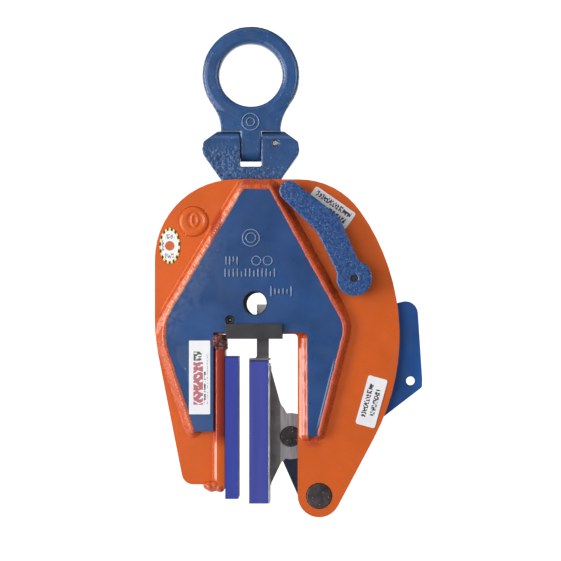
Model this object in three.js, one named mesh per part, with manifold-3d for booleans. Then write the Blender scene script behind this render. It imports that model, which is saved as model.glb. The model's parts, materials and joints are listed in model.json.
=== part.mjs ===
// Vertical plate lifting clamp with soft non-marking jaw pads.
// Millimetres, +Z up, +X towards the cam, -Y towards the lock lever (the front).
// The origin is the centre of the lifting eye's opening, and the clamp is drawn closed, as it hangs.

import * as THREE from "three";
import { mergeVertices } from "three/addons/utils/BufferGeometryUtils.js";
import Module from "manifold-3d";

const wasm = await Module();
wasm.setup();

// ---------------------------------------------------------------- driving dimensions

const GAP = 0.3; // between faces that touch
const PLAY = 0.35; // radial play of a pin in its hole

// Layers across the clamp, as distances from its middle plane.
const PLATE_IN = 14;
const PLATE_OUT = 22;
const COVER_IN = PLATE_OUT + GAP;
const COVER_OUT = 30;
const CORE_HALF = 8;
const LINK_IN = 8.6;
const LINK_OUT = 13.2;
const PAD_HALF = 35;

// Lifting eye and shackle.
const EYE_HOLE_R = 33;
const EYE_OUTER_R = 51.4;
const EYE_HALF = 10;
const EYE_EDGE_R = 5;
const EYE_SIDES = 54;
const NECK_HALF = 31.5;
const NECK_BOTTOM = -58.6;
const TONGUE_HALF = 10.2;
const TONGUE_BOTTOM = -90.4;
const HINGE_Z = -71.9;
const CROSS_PIN_R = 7.5;
const CROSS_PIN_HALF = 42;
const SHACKLE_HALF = 13;
const SLOT_HALF = 11.2;
const SLOT_BOTTOM = -96.5;
const LOCK_PIN_X = 26;
const LOCK_PIN_R = 3;
const LOCK_PIN_HALF = 11.6;
const TANG_TOP = -120; // where the blade below the shackle's head begins
const TANG_FOOT_R = 15;

// Links from the shackle to the cam.
const LINK_EYE_R = 13;
const LINK_PIN_R = 7;
const LINK_PIN_HALF = 13.5;
const OPEN_PLAY = 1.9; // the links' feet stay this far off their pin all round

// Pivots, as [x, z].
const LINK_TOP = [36.2, -173.3];
const LINK_FOOT = [102, -396];
const CAM_AXLE = [71.8, -441.9];
const JAW_PIN = [41.9, -380];
const LEVER_PIVOT = [108.5, -214.4];
const LEVER_TIP = [40.7, -123.1];

// Side plates: a rounded top, a large back curve and a leg that ends round the cam axle.
const PLATE_TOP = -110.5;
const PLATE_LEFT = -100.3;
const PLATE_BULGE_Z = -276; // the left-hand edge turns in towards the heel here
const PLATE_BULGE_R = 180;
const SHOULDER_R = 84;
const CREST = [51.2, -188, 77.5];
const BACK = [-71.9, -274.1, 228];
const LEG_R = 22.4;
const THROAT_TOP = -272.6;
const THROAT_LEFT = -35.5;
const THROAT_RIGHT = CAM_AXLE[0] - LEG_R;
const HEEL_BOTTOM = -430;
const HEEL_LEFT = -69.8;
const HEEL_R = 12;

// Holes in the plates, as [x, z, radius].
const SIGHT_HOLE = [5, -240.2, 12];
const SCREW_HOLE = [-21.6, -257.9, 4.6];
const SPACER_HOLE = [-59.7, -154.6, 15.8];
const AXLE_R = 13.4;
const AXLE_BUSH_R = 16.3;
const SHAFT_R = 8;
const JAW_PIN_R = 6.5;
const SMALL_PIN_R = 3;

// Jaws.
const JAW_PLATE = { left: -35.2, right: -26.4, top: -273.2, bottom: -434.7, half: 30 };
const FIXED_PAD = { left: -26.1, right: -12.4, top: -295.7, bottom: -444.5 };
const MOVING_PAD = { left: -1.2, right: 18.7, top: -299.9, bottom: -449.3 };
const STEM = { left: 6.3, right: 18.9, top: -241.4, half: 8 };
const SHOE = { left: 9.5, half: 29, bottom: -440 };
const BACKING = { left: 19, right: 20.6, top: -303.5 };
const BOSS_R = 24;
const CHEEK_OUT = 12; // outer face of the fork's cheeks, from the middle plane
const THROUGH = 60; // long enough to cut right through the clamp

// ---------------------------------------------------------------- outlines

const DEG = Math.PI / 180;
const COARSEST_STEP = 18;
const STEP_SCALE = 64;

// Points on an arc about (x, z), from one angle to the other in degrees; large arcs get finer steps.
function arc(x, z, radius, from, to, step = Math.min(COARSEST_STEP, STEP_SCALE / Math.sqrt(radius))) {
  const count = Math.max(1, Math.ceil(Math.abs(to - from) / step));
  const points = [];
  for (let i = 0; i <= count; i++) {
    const angle = (from + ((to - from) * i) / count) * DEG;
    points.push(new THREE.Vector2(x + radius * Math.cos(angle), z + radius * Math.sin(angle)));
  }
  return points;
}

const circle = (x, z, radius) => arc(x, z, radius, 0, 360).slice(0, -1);

// One corner of an outline, rounded so that the arc is tangent to both of its edges.
function corner(before, at, after) {
  const [x, z, radius = 0] = at;
  const here = new THREE.Vector2(x, z);
  if (!radius) return [here];
  const back = new THREE.Vector2(before[0], before[1]).sub(here).normalize();
  const ahead = new THREE.Vector2(after[0], after[1]).sub(here).normalize();
  const half = Math.acos(THREE.MathUtils.clamp(back.dot(ahead), -1, 1)) / 2;
  const bisector = back.clone().add(ahead).normalize();
  const centre = here.clone().addScaledVector(bisector, radius / Math.sin(half));
  const reach = radius / Math.tan(half);
  const start = here.clone().addScaledVector(back, reach).sub(centre);
  const end = here.clone().addScaledVector(ahead, reach).sub(centre);
  const turn = Math.atan2(start.x * end.y - start.y * end.x, start.dot(end));
  const first = Math.atan2(start.y, start.x);
  return arc(centre.x, centre.y, radius, first / DEG, (first + turn) / DEG);
}

// A closed outline from corners [x, z, radius].
function rounded(corners) {
  return corners.flatMap((at, i) => corner(corners.at(i - 1), at, corners[(i + 1) % corners.length]));
}

// An open run of corners: the first and last points only give the directions at the ends.
function run(corners) {
  return corners.slice(1, -1).flatMap((at, i) => corner(corners[i], at, corners[i + 2]));
}

// The direction, in degrees, in which two circles [x, z, radius] share an outer tangent's normal.
function tangentAngle(large, small, side) {
  const dx = small[0] - large[0];
  const dz = small[1] - large[1];
  const spread = Math.acos((large[2] - small[2]) / Math.hypot(dx, dz));
  return (Math.atan2(dz, dx) + side * spread) / DEG;
}

const mirrored = (points) => points.map((p) => new THREE.Vector2(-p.x, p.y)).reverse();

// ---------------------------------------------------------------- solids

// An outline with holes, drawn on the plane of axes a and b and given its depth along a x b.
function prism(outline, holes, a, b, from, to) {
  const shape = new THREE.Shape(outline);
  shape.holes = holes.map((points) => new THREE.Path(points));
  const geometry = new THREE.ExtrudeGeometry(shape, { depth: to - from, bevelEnabled: false });
  const normal = a.clone().cross(b);
  geometry.applyMatrix4(new THREE.Matrix4().makeBasis(a, b, normal));
  return geometry.translate(normal.x * from, normal.y * from, normal.z * from);
}

const X = new THREE.Vector3(1, 0, 0);
const Y = new THREE.Vector3(0, 1, 0);
const Z = new THREE.Vector3(0, 0, 1);

// Plate drawn as seen from the front, between two places along Y.
const plate = (outline, yFrom, yTo, holes = []) => prism(outline, holes, X, Z, -yTo, -yFrom);
// Bar drawn as seen from the right-hand side, between two places along X.
const bar = (outline, xFrom, xTo) => prism(outline, [], Y, Z, xFrom, xTo);

function block(x0, x1, y0, y1, z0, z1) {
  const box = new THREE.BoxGeometry(x1 - x0, y1 - y0, z1 - z0);
  return box.translate((x0 + x1) / 2, (y0 + y1) / 2, (z0 + z1) / 2);
}

// A round part along Y about [x, z], from a profile of [radius, y] that starts and ends on the axis.
function turned([x, z], profile, sides = 24) {
  const points = profile.map(([radius, y]) => new THREE.Vector2(radius, y));
  return new THREE.LatheGeometry(points, sides).translate(x, 0, z);
}

const pin = (at, radius, yFrom, yTo, sides = 24) =>
  turned(at, [[0, yFrom], [radius, yFrom], [radius, yTo], [0, yTo]], sides);

// A pin with chamfered ends.
function dowel(at, radius, yFrom, yTo, chamfer = 1, sides = 24) {
  const neck = radius - chamfer;
  const profile = [
    [0, yFrom],
    [neck, yFrom],
    [radius, yFrom + chamfer],
    [radius, yTo - chamfer],
    [neck, yTo],
    [0, yTo],
  ];
  return turned(at, profile, sides);
}

// A ring along Y: the profile closes on itself and stays off the axis.
function ring(at, inner, outer, yFrom, yTo, sides = 24) {
  const profile = [[inner, yFrom], [outer, yFrom], [outer, yTo], [inner, yTo], [inner, yFrom]];
  return turned(at, profile, sides);
}

// A part along X about (y = 0, z).
function alongX(geometry, z) {
  return geometry.rotateZ(-Math.PI / 2).translate(0, 0, z);
}

function solid(geometry) {
  const bare = geometry.clone();
  bare.deleteAttribute("normal");
  bare.deleteAttribute("uv");
  const merged = mergeVertices(bare, 1e-4);
  const vertProperties = new Float32Array(merged.attributes.position.array);
  const triVerts = new Uint32Array(merged.index.array);
  return new wasm.Manifold(new wasm.Mesh({ numProp: 3, vertProperties, triVerts }));
}

function geometryOf(body) {
  const mesh = body.getMesh();
  const geometry = new THREE.BufferGeometry();
  geometry.setAttribute("position", new THREE.BufferAttribute(mesh.vertProperties, 3));
  geometry.setIndex(new THREE.BufferAttribute(mesh.triVerts, 1));
  return geometry;
}

const joined = (first, ...others) =>
  geometryOf(others.reduce((sum, other) => sum.add(solid(other)), solid(first)));
const cut = (first, ...others) =>
  geometryOf(others.reduce((sum, other) => sum.subtract(solid(other)), solid(first)));
const common = (first, second) => geometryOf(solid(first).intersect(solid(second)));

// ---------------------------------------------------------------- finishes

const paint = (color) => new THREE.MeshStandardMaterial({ color, roughness: 0.45, metalness: 0 });
const steel = (color, roughness) => new THREE.MeshStandardMaterial({ color, roughness, metalness: 0.9 });

const BLUE = () => paint(0x2a4f86);
const ORANGE = () => paint(0xcf5c28);
const URETHANE = () => new THREE.MeshStandardMaterial({ color: 0x3f48a8, roughness: 0.5 });
const BLACK_STEEL = () => steel(0x2b2a2c, 0.6);
const GREY_STEEL = () => steel(0x55534f, 0.5);
const BRIGHT_STEEL = () => steel(0xa9a9ac, 0.35);
const STICKER = () => new THREE.MeshStandardMaterial({ color: 0xe8e8ea, roughness: 0.4 });

const clamp = new THREE.Group();

function add(name, geometry, material) {
  const mesh = new THREE.Mesh(geometry, material);
  mesh.name = name;
  clamp.add(mesh);
}

// The same plate-like piece on both sides of the clamp, from its layer's inner and outer distances.
function addPair(name, inner, outer, make, material) {
  add(name + "_front", make(-outer, -inner), material());
  add(name + "_rear", make(inner, outer), material());
}

// ---------------------------------------------------------------- lifting eye

// The ring's sides run into the neck along arcs that touch both.
function neckOutline() {
  const drop = -NECK_BOTTOM;
  const inward = (NECK_HALF ** 2 + drop ** 2 - EYE_OUTER_R ** 2) / (2 * (EYE_OUTER_R - NECK_HALF));
  const touch = Math.atan2(drop, NECK_HALF + inward) / DEG;
  const side = arc(NECK_HALF + inward, NECK_BOTTOM, inward, 180, 180 - touch);
  const middle = (EYE_HOLE_R + EYE_OUTER_R) / 2;
  const top = arc(0, 0, middle, -touch, touch - 180);
  return [...side, ...top, ...mirrored(side)];
}

// The ring, turned from a square section with rounded edges.
function eyeRing() {
  const round = 30; // degrees a step round an edge
  const inner = EYE_HOLE_R + EYE_EDGE_R;
  const outer = EYE_OUTER_R - EYE_EDGE_R;
  const side = EYE_HALF - EYE_EDGE_R;
  const section = [
    ...arc(outer, -side, EYE_EDGE_R, -90, 0, round),
    ...arc(outer, side, EYE_EDGE_R, 0, 90, round),
    ...arc(inner, side, EYE_EDGE_R, 90, 180, round),
    ...arc(inner, -side, EYE_EDGE_R, 180, 270, round),
  ];
  return new THREE.LatheGeometry([...section, section[0]], EYE_SIDES);
}

// The tongue that hangs in the shackle's slot, rounded below about the cross pin.
function eyeTongue() {
  const top = NECK_BOTTOM + 8;
  const profile = [
    [-EYE_HALF, top],
    [-EYE_HALF, TONGUE_BOTTOM, EYE_HALF - 0.5],
    [EYE_HALF, TONGUE_BOTTOM, EYE_HALF - 0.5],
    [EYE_HALF, top],
  ];
  return bar(rounded(profile), -TONGUE_HALF, TONGUE_HALF);
}

function liftingEye() {
  const neck = plate(neckOutline(), -EYE_HALF + 1, EYE_HALF - 1);
  const bore = alongX(pin([0, 0], CROSS_PIN_R + PLAY, -THROUGH, THROUGH), HINGE_Z);
  return cut(joined(eyeRing(), neck, eyeTongue()), bore);
}

function addEye() {
  add("lifting_eye", liftingEye(), BLUE());
}

// ---------------------------------------------------------------- shackle

function shackleOutline() {
  const right = [
    [31.4, PLATE_TOP + 0.2],
    [50, -84, 3],
    [51.2, -78.8, 3],
    [49.9, -70.4, 3],
    [34.6, HINGE_Z + SHACKLE_HALF],
  ];
  const left = right.map(([x, z, r]) => [-x, z, r]).reverse();
  return rounded([[20, -136, 8], ...right, ...left, [-20, -136, 8]]);
}

// The blade that runs down between the side plates to the links' upper pin.
function tangOutline() {
  const [x, z] = LINK_TOP;
  const foot = arc(x, z, TANG_FOOT_R, 12, -150);
  return [new THREE.Vector2(-20, TANG_TOP), new THREE.Vector2(30, TANG_TOP), ...foot];
}

// The shackle's section seen from the side: straight sides under a top rounded about the hinge.
function shackleHead() {
  const foot = TANG_TOP - 20;
  const profile = [
    ...arc(0, HINGE_Z, SHACKLE_HALF, 0, 180),
    new THREE.Vector2(-SHACKLE_HALF, foot),
    new THREE.Vector2(SHACKLE_HALF, foot),
  ];
  const front = plate(shackleOutline(), -SHACKLE_HALF - 1, SHACKLE_HALF + 1);
  return common(front, bar(profile, -THROUGH, THROUGH));
}

const lockBore = () => pin([LOCK_PIN_X, HINGE_Z], LOCK_PIN_R + PLAY, -THROUGH, THROUGH, 20);

function shacklePlate() {
  const tang = plate(tangOutline(), -CORE_HALF, CORE_HALF);
  const slot = block(-SLOT_HALF, SLOT_HALF, -THROUGH, THROUGH, SLOT_BOTTOM, -50);
  const bore = alongX(pin([0, 0], CROSS_PIN_R + PLAY, -THROUGH, THROUGH), HINGE_Z);
  const eye = pin(LINK_TOP, LINK_PIN_R + PLAY, -THROUGH, THROUGH);
  return cut(joined(shackleHead(), tang), slot, bore, lockBore(), eye);
}

function crossPin() {
  const body = alongX(dowel([0, 0], CROSS_PIN_R, -CROSS_PIN_HALF, CROSS_PIN_HALF, 1.2), HINGE_Z);
  return cut(body, lockBore());
}

function addShackle() {
  const lock = dowel([LOCK_PIN_X, HINGE_Z], LOCK_PIN_R, -LOCK_PIN_HALF, LOCK_PIN_HALF, 0.6, 16);
  add("shackle_plate", shacklePlate(), BLUE());
  add("eye_cross_pin", crossPin(), BRIGHT_STEEL());
  add("cross_pin_lock", lock, BRIGHT_STEEL());
  add("link_pin_upper", dowel(LINK_TOP, LINK_PIN_R, -LINK_PIN_HALF, LINK_PIN_HALF), BRIGHT_STEEL());
}

// ---------------------------------------------------------------- links

function linkOutline() {
  const [x0, z0] = LINK_FOOT;
  const [x1, z1] = LINK_TOP;
  const up = Math.atan2(z1 - z0, x1 - x0) / DEG;
  const spread = 42; // degrees left open where the waist runs into each eye
  const foot = arc(x0, z0, LINK_EYE_R + OPEN_PLAY, up + spread, up + 360 - spread);
  const top = arc(x1, z1, LINK_EYE_R, up - 180 + spread, up + 180 - spread);
  return [...foot, ...top];
}

function link(yFrom, yTo) {
  const holes = [circle(...LINK_TOP, LINK_PIN_R + PLAY), circle(...LINK_FOOT, LINK_PIN_R + OPEN_PLAY)];
  return plate(linkOutline(), yFrom, yTo, holes);
}

function addLinks() {
  addPair("link", LINK_IN, LINK_OUT, link, BRIGHT_STEEL);
}

// ---------------------------------------------------------------- welded body

function plateOutline() {
  const crestEnd = Math.atan2(CREST[1] - BACK[1], CREST[0] - BACK[0]) / DEG;
  const legStart = tangentAngle(BACK, [...CAM_AXLE, LEG_R], 1);
  const shoulder = arc(PLATE_LEFT + SHOULDER_R, PLATE_TOP - SHOULDER_R, SHOULDER_R, 180, 90);
  const leg = arc(...CAM_AXLE, LEG_R, legStart, -180);
  const inside = run([
    [THROAT_RIGHT, -400],
    [THROAT_RIGHT, THROAT_TOP, 4],
    [THROAT_LEFT, THROAT_TOP],
    [THROAT_LEFT, HEEL_BOTTOM],
    [HEEL_LEFT, HEEL_BOTTOM, HEEL_R],
    [PLATE_LEFT, PLATE_BULGE_Z, PLATE_BULGE_R],
    [PLATE_LEFT, PLATE_TOP],
  ]);
  return [
    ...shoulder,
    ...arc(...CREST, 90, crestEnd),
    ...arc(...BACK, crestEnd, legStart).slice(1),
    ...leg,
    ...inside,
  ];
}

function sidePlate(yFrom, yTo) {
  const holes = [
    circle(...SIGHT_HOLE),
    circle(...SCREW_HOLE),
    circle(SPACER_HOLE[0], SPACER_HOLE[1], SPACER_HOLE[2] + GAP),
    circle(...CAM_AXLE, AXLE_R + PLAY),
    circle(...LEVER_PIVOT, SHAFT_R + PLAY),
  ];
  return plate(plateOutline(), yFrom, yTo, holes);
}

// The raised reinforcement: a gabled shape with a leg each side of the throat.
const COVER_CORNERS = [
  [-38.6, -374.3],
  [-61.4, -374.3],
  [-97.3, -266, 60],
  [-8.6, -117.6, 5],
  [21.6, -117.6, 5],
  [101.7, -263.6, 28],
  [72.6, -379.6],
  [59.9, -379.6],
  [59.3, -270.9, 5],
  [-38.6, -270.9],
];

function cover(yFrom, yTo) {
  return plate(rounded(COVER_CORNERS), yFrom, yTo, [circle(...SIGHT_HOLE), circle(...SCREW_HOLE)]);
}

// A fillet weld laid along the left-hand side of a path, on the outer face of a side plate.
function fillet(path, width, yFace, yCrest) {
  const bulge = 0.62; // share of the width and of the height at the middle of the bead
  const section = [
    [GAP, yFace],
    [width, yFace],
    [width * bulge, yFace + (yCrest - yFace) * bulge],
    [GAP, yCrest],
  ];
  const positions = [];
  path.forEach((at, i) => {
    const behind = path[Math.max(i - 1, 0)];
    const ahead = path[Math.min(i + 1, path.length - 1)];
    const into = at.clone().sub(i ? behind : at.clone().multiplyScalar(2).sub(ahead)).normalize();
    const out = (i < path.length - 1 ? ahead.clone().sub(at) : into.clone()).normalize();
    const along = into.clone().add(out).normalize();
    const miter = 1 / Math.max(along.dot(out), 0.5);
    for (const [off, y] of section) {
      positions.push(at.x - along.y * off * miter, y, at.y + along.x * off * miter);
    }
  });
  return sweep(positions, section.length);
}

// Skin over equal rings of points, closed by a fan at each end.
function sweep(positions, count) {
  const rings = positions.length / 3 / count;
  const index = [];
  for (let i = 0; i < rings - 1; i++) {
    for (let k = 0; k < count; k++) {
      const a = i * count + k;
      const b = i * count + ((k + 1) % count);
      index.push(a, b, b + count, a, b + count, a + count);
    }
  }
  const last = (rings - 1) * count;
  for (let k = 1; k < count - 1; k++) {
    index.push(0, k + 1, k, last, last + k, last + k + 1);
  }
  const geometry = new THREE.BufferGeometry();
  geometry.setAttribute("position", new THREE.Float32BufferAttribute(positions, 3));
  geometry.setIndex(index);
  return facingOut(geometry);
}

function facingOut(geometry) {
  const p = geometry.attributes.position;
  const index = geometry.index.array;
  const [a, b, c] = [new THREE.Vector3(), new THREE.Vector3(), new THREE.Vector3()];
  let volume = 0;
  for (let i = 0; i < index.length; i += 3) {
    a.fromBufferAttribute(p, index[i]);
    b.fromBufferAttribute(p, index[i + 1]);
    c.fromBufferAttribute(p, index[i + 2]);
    volume += a.dot(b.cross(c));
  }
  if (volume < 0) index.reverse();
  return geometry;
}

// Bead sizes: width over the plate, and how far the crest stands from the middle plane.
const WELD_OUTER = { width: 7.2, crest: 29.4 };
const WELD_THROAT = { width: 8.8, crest: 28 };
const WELD_JAW = { width: 3, crest: 27 };

function addWeld(name, corners, { width, crest }) {
  const path = run(corners);
  add(name + "_front", fillet(path, width, -COVER_IN, -crest), ORANGE());
  add(name + "_rear", fillet(path, width, COVER_IN, crest), ORANGE());
}

function addWelds() {
  const edge = JAW_PLATE.left;
  addWeld("weld_outer", COVER_CORNERS.slice(0, 8), WELD_OUTER);
  addWeld("weld_throat", [[59.9, -390], [59.9, -382], [59.3, -276.5], [59.3, -270]], WELD_THROAT);
  addWeld("weld_jaw", [[edge, -440], [edge, -428], [edge, -296], [edge, -280]], WELD_JAW);
}

// Infill between the side plates behind the fixed jaw.
function centreBlock() {
  const outline = rounded([
    [THROAT_LEFT, -300],
    [THROAT_LEFT, HEEL_BOTTOM + 4],
    [-66, HEEL_BOTTOM + 4, 8],
    [-93.5, -292, 30],
    [-84, -272, 8],
    [-52, -272, 8],
  ]);
  return plate(outline, -PLATE_IN + GAP, PLATE_IN - GAP);
}

// Spacer whose ends come through both side plates as low round bosses with a dished middle.
function spacerBoss() {
  const end = PLATE_OUT + 2.2;
  const rim = SPACER_HOLE[2];
  const [dish, slope, chamfer] = [7, 1.5, 1.5];
  const floor = end - 1.6;
  const half = [
    [0, floor],
    [dish - slope, floor],
    [dish, end],
    [rim - chamfer, end],
    [rim, end - chamfer],
  ];
  const profile = [...half.map(([radius, y]) => [radius, -y]), ...half.reverse()];
  return turned(SPACER_HOLE, profile, 32);
}

// Cap screws that hold a pad: how far below the pad's top, and their radii.
const PAD_SCREW = { drops: [40, 112], headR: 5.5, head: 4, shankR: 2.9 };
const PAD_BORE = { tapR: 3.2, clearR: 3.3, sinkR: 6 };

// A round hole along X.
function screwHole(xFrom, xTo, z, radius) {
  return alongX(pin([0, 0], radius, xFrom, xTo, 20), z);
}

function jawPlate() {
  const { left, right, top, bottom, half } = JAW_PLATE;
  const body = block(left, right, -half, half, bottom, top);
  const taps = PAD_SCREW.drops.map((drop) =>
    screwHole(left - 5, right + 5, FIXED_PAD.top - drop, PAD_BORE.tapR));
  return cut(body, ...taps);
}

function addBody() {
  addPair("side_plate", PLATE_IN, PLATE_OUT, sidePlate, ORANGE);
  addPair("reinforcement", COVER_IN, COVER_OUT, cover, BLUE);
  addWelds();
  add("centre_block", centreBlock(), ORANGE());
  add("spacer_boss", spacerBoss(), ORANGE());
  add("jaw_plate", jawPlate(), ORANGE());
}

// ---------------------------------------------------------------- fixed pad

// Cap screw along X: a round head in the pad's counterbore and a shank into the steel behind.
function padScrew(headX, shankX, z) {
  const way = Math.sign(shankX - headX);
  const { headR, head, shankR } = PAD_SCREW;
  const under = headX + way * head;
  const profile = [
    [0, headX],
    [headR, headX],
    [headR, under],
    [shankR, under],
    [shankR, shankX],
    [0, shankX],
  ];
  const ordered = way > 0 ? profile : profile.reverse();
  return alongX(turned([0, 0], ordered, 16), z);
}

function fixedPad() {
  const { left, right, top, bottom } = FIXED_PAD;
  const body = block(left, right, -PAD_HALF, PAD_HALF, bottom, top);
  const bores = PAD_SCREW.drops.flatMap((drop) => [
    screwHole(left - 1, right + 1, top - drop, PAD_BORE.clearR),
    screwHole(right - 8, right + 1, top - drop, PAD_BORE.sinkR),
  ]);
  return cut(body, ...bores);
}

function addFixedPad() {
  add("fixed_pad", fixedPad(), URETHANE());
  PAD_SCREW.drops.forEach((drop, i) => {
    const screw = padScrew(FIXED_PAD.right - 3.6, JAW_PLATE.left + 1, FIXED_PAD.top - drop);
    add(["fixed_pad_screw_upper", "fixed_pad_screw_lower"][i], screw, GREY_STEEL());
  });
}

// ---------------------------------------------------------------- throat guard

const GUARD = { left: -25.6, right: 33.3, top: -261.9, floor: -272.9, bottom: -277.7 };

// A saddle over the throat's top edge, with a slot for the stem and a lug for its screw.
function throatGuard() {
  const { left, right, top, floor, bottom } = GUARD;
  const flange = COVER_OUT + GAP;
  const body = block(left, right, -PAD_HALF, PAD_HALF, bottom, top);
  const bed = block(left - 1, right + 1, -flange, flange, floor, top + 1);
  const slot = block(STEM.left - 1, right + 1, -STEM.half - 1, STEM.half + 1, bottom - 1, top);
  const inner = PLATE_IN - GAP;
  const [x, z] = SCREW_HOLE;
  const lug = block(left + 0.01, x + 7, -inner, inner, bottom + 1, z + 7);
  return cut(joined(cut(body, bed, slot), lug), pin([x, z], 3.4, -THROUGH, THROUGH, 20));
}

// The screw that holds the guard: a cap head with a socket, sunk in the cover's hole.
function guardScrew() {
  const [headR, shankR, socketR] = [4.1, SMALL_PIN_R - 0.1, 1.6];
  const [headY, seatY, socketY, endY] = [-24.5, -19.5, -21, 20];
  const profile = [
    [0, socketY],
    [socketR, socketY],
    [socketR, headY],
    [headR, headY],
    [headR, seatY],
    [shankR, seatY],
    [shankR, endY],
    [0, endY],
  ];
  return turned(SCREW_HOLE, profile, 16);
}

function addGuard() {
  add("throat_guard", throatGuard(), GREY_STEEL());
  add("guard_screw", guardScrew(), BLACK_STEEL());
  add("guard_nut", ring(SCREW_HOLE, 3.6, 4.4, 15, 19.4, 6), BLACK_STEEL());
}

// ---------------------------------------------------------------- cam

const CAM_HEEL_R = 20.4;
const CAM_HEEL_SWEEP = 126; // round the axle, from the nose's side to the back edge
const CAM_NOSE_R = 18;
const CAM_TAB_HOLE = [167.9, -321.8, 4.7];
const SPRING_FOOT = [134, -330];
const AXLE_SIDES = 40;

// The cam's back edge, its tab past the body and its upper edge, as corners [x, z, radius].
const CAM_CORNERS = [
  [89.5, -452.2],
  [135.3, -362.8, 12],
  [180, -328.4, 4],
  [180.2, -320, 6],
  [176.6, -264, 20],
  [174.6, -234.5, 13],
  [150, -241, 5],
  [138, -296, 20],
  [118, -360, 16],
  [78, -380, 16],
  [52, -363, 8],
  [JAW_PIN[0], JAW_PIN[1] + CAM_NOSE_R],
];

// A broad sector from the axle up to the tab that shows past the body's back edge.
function camOutline() {
  const heel = tangentAngle([...CAM_AXLE, CAM_HEEL_R], [...JAW_PIN, CAM_NOSE_R], 1);
  return [
    ...arc(...CAM_AXLE, CAM_HEEL_R, heel, heel + CAM_HEEL_SWEEP),
    ...run(CAM_CORNERS),
    ...arc(...JAW_PIN, CAM_NOSE_R, 90, heel),
  ];
}

function camPlate() {
  const holes = [
    circle(...CAM_AXLE, AXLE_BUSH_R + GAP),
    circle(...JAW_PIN, JAW_PIN_R + PLAY),
    circle(...LINK_FOOT, LINK_PIN_R + PLAY),
    circle(...CAM_TAB_HOLE),
    circle(...SPRING_FOOT, SMALL_PIN_R + PLAY),
  ];
  return plate(camOutline(), -CORE_HALF, CORE_HALF, holes);
}

const AXLE_GROOVE = { depth: 1.2, from: PLATE_OUT + 0.6, to: PLATE_OUT + 2 };

// A chamfered pin with a ring groove behind the rear side plate.
function camAxle() {
  const { depth, from, to } = AXLE_GROOVE;
  const front = -PLATE_OUT - 1.2;
  const rear = PLATE_OUT + 4;
  const neck = AXLE_R - depth;
  const profile = [
    [0, front],
    [AXLE_R - 1, front],
    [AXLE_R, front + 1],
    [AXLE_R, from],
    [neck, from],
    [neck, to],
    [AXLE_R, to],
    [AXLE_R, rear - 1],
    [AXLE_R - 1, rear],
    [0, rear],
  ];
  return turned(CAM_AXLE, profile, AXLE_SIDES);
}

function axleRing() {
  const { depth, from, to } = AXLE_GROOVE;
  const inner = AXLE_R - depth + GAP;
  return ring(CAM_AXLE, inner, AXLE_R + 3, from + GAP, to - GAP, AXLE_SIDES);
}

function addCam() {
  const bushing = ring(CAM_AXLE, AXLE_R + PLAY, AXLE_BUSH_R, -CORE_HALF, CORE_HALF, AXLE_SIDES);
  add("cam_plate", camPlate(), BLUE());
  add("cam_bushing", bushing, BRIGHT_STEEL());
  add("link_pin_lower", dowel(LINK_FOOT, LINK_PIN_R, -LINK_PIN_HALF, LINK_PIN_HALF), BRIGHT_STEEL());
  add("cam_axle", camAxle(), BLACK_STEEL());
  add("axle_ring", axleRing(), BLACK_STEEL());
}

// ---------------------------------------------------------------- moving jaw

// One fork cheek: a web that spreads from the pad's back into a round boss at the jaw pin.
function cheekOutline() {
  const [x, z] = JAW_PIN;
  return [
    ...arc(x, z, BOSS_R, 100, -104),
    ...run([
      [x, z - BOSS_R],
      [33, -405.6, 5],
      [BACKING.right + 0.3, -430.5],
      [BACKING.right + 0.3, -309],
      [31.6, -348, 10],
      [x, z + BOSS_R - 0.5],
    ]),
  ];
}

// The stem over the pad's cap plate, with a small gusset in the corner between them.
function jawStem() {
  const { left, right, top, half } = STEM;
  const lip = MOVING_PAD.top + GAP;
  const capTop = lip + 1.6;
  const stem = block(left, right, -half, half, lip, top);
  const cap = block(MOVING_PAD.left, BACKING.right, -PAD_HALF, PAD_HALF, lip, capTop);
  const bend = run([[left, top], [left, capTop - 0.1, 3], [left - 6, capTop - 0.1]]);
  const gusset = plate([...bend, new THREE.Vector2(left + 1, lip + 1)], -half, half);
  return joined(stem, cap, gusset);
}

// The two cheeks that straddle the cam, on a spine behind the pad.
function jawFork() {
  const half = LINK_OUT - 0.6;
  const spine = block(STEM.right - 1, BACKING.right + 0.9, -half, half, -431, -306);
  const front = plate(cheekOutline(), -CHEEK_OUT, -LINK_IN);
  const rear = plate(cheekOutline(), LINK_IN, CHEEK_OUT);
  return joined(spine, front, rear);
}

// Shoe, stem and fork in one piece of steel, carried on the jaw pin.
function jawBracket() {
  const shoeTop = MOVING_PAD.top + GAP + 1;
  const shoe = block(SHOE.left, STEM.right, -SHOE.half, SHOE.half, SHOE.bottom, shoeTop);
  const bore = pin(JAW_PIN, JAW_PIN_R + PLAY, -THROUGH, THROUGH);
  const taps = PAD_SCREW.drops.map((drop) => screwHole(0, 40, MOVING_PAD.top - drop, PAD_BORE.tapR));
  return cut(joined(jawStem(), shoe, jawFork()), bore, ...taps);
}

function movingPad() {
  const { left, right, top, bottom } = MOVING_PAD;
  const body = block(left, right, -PAD_HALF, PAD_HALF, bottom, top);
  const half = SHOE.half + GAP;
  const pocket = block(SHOE.left - GAP, right + 1, -half, half, SHOE.bottom - GAP, top + 1);
  const bores = PAD_SCREW.drops.flatMap((drop) => [
    screwHole(left - 1, right, top - drop, PAD_BORE.clearR),
    screwHole(left - 1, left + 7, top - drop, PAD_BORE.sinkR),
  ]);
  return cut(body, pocket, ...bores);
}

function backingPlate() {
  const { left, right, top } = BACKING;
  const body = block(left, right, -PAD_HALF, PAD_HALF, MOVING_PAD.bottom, top);
  return cut(body, block(left - 1, right + 1, -LINK_OUT, LINK_OUT, -431.4, top + 1));
}

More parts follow.
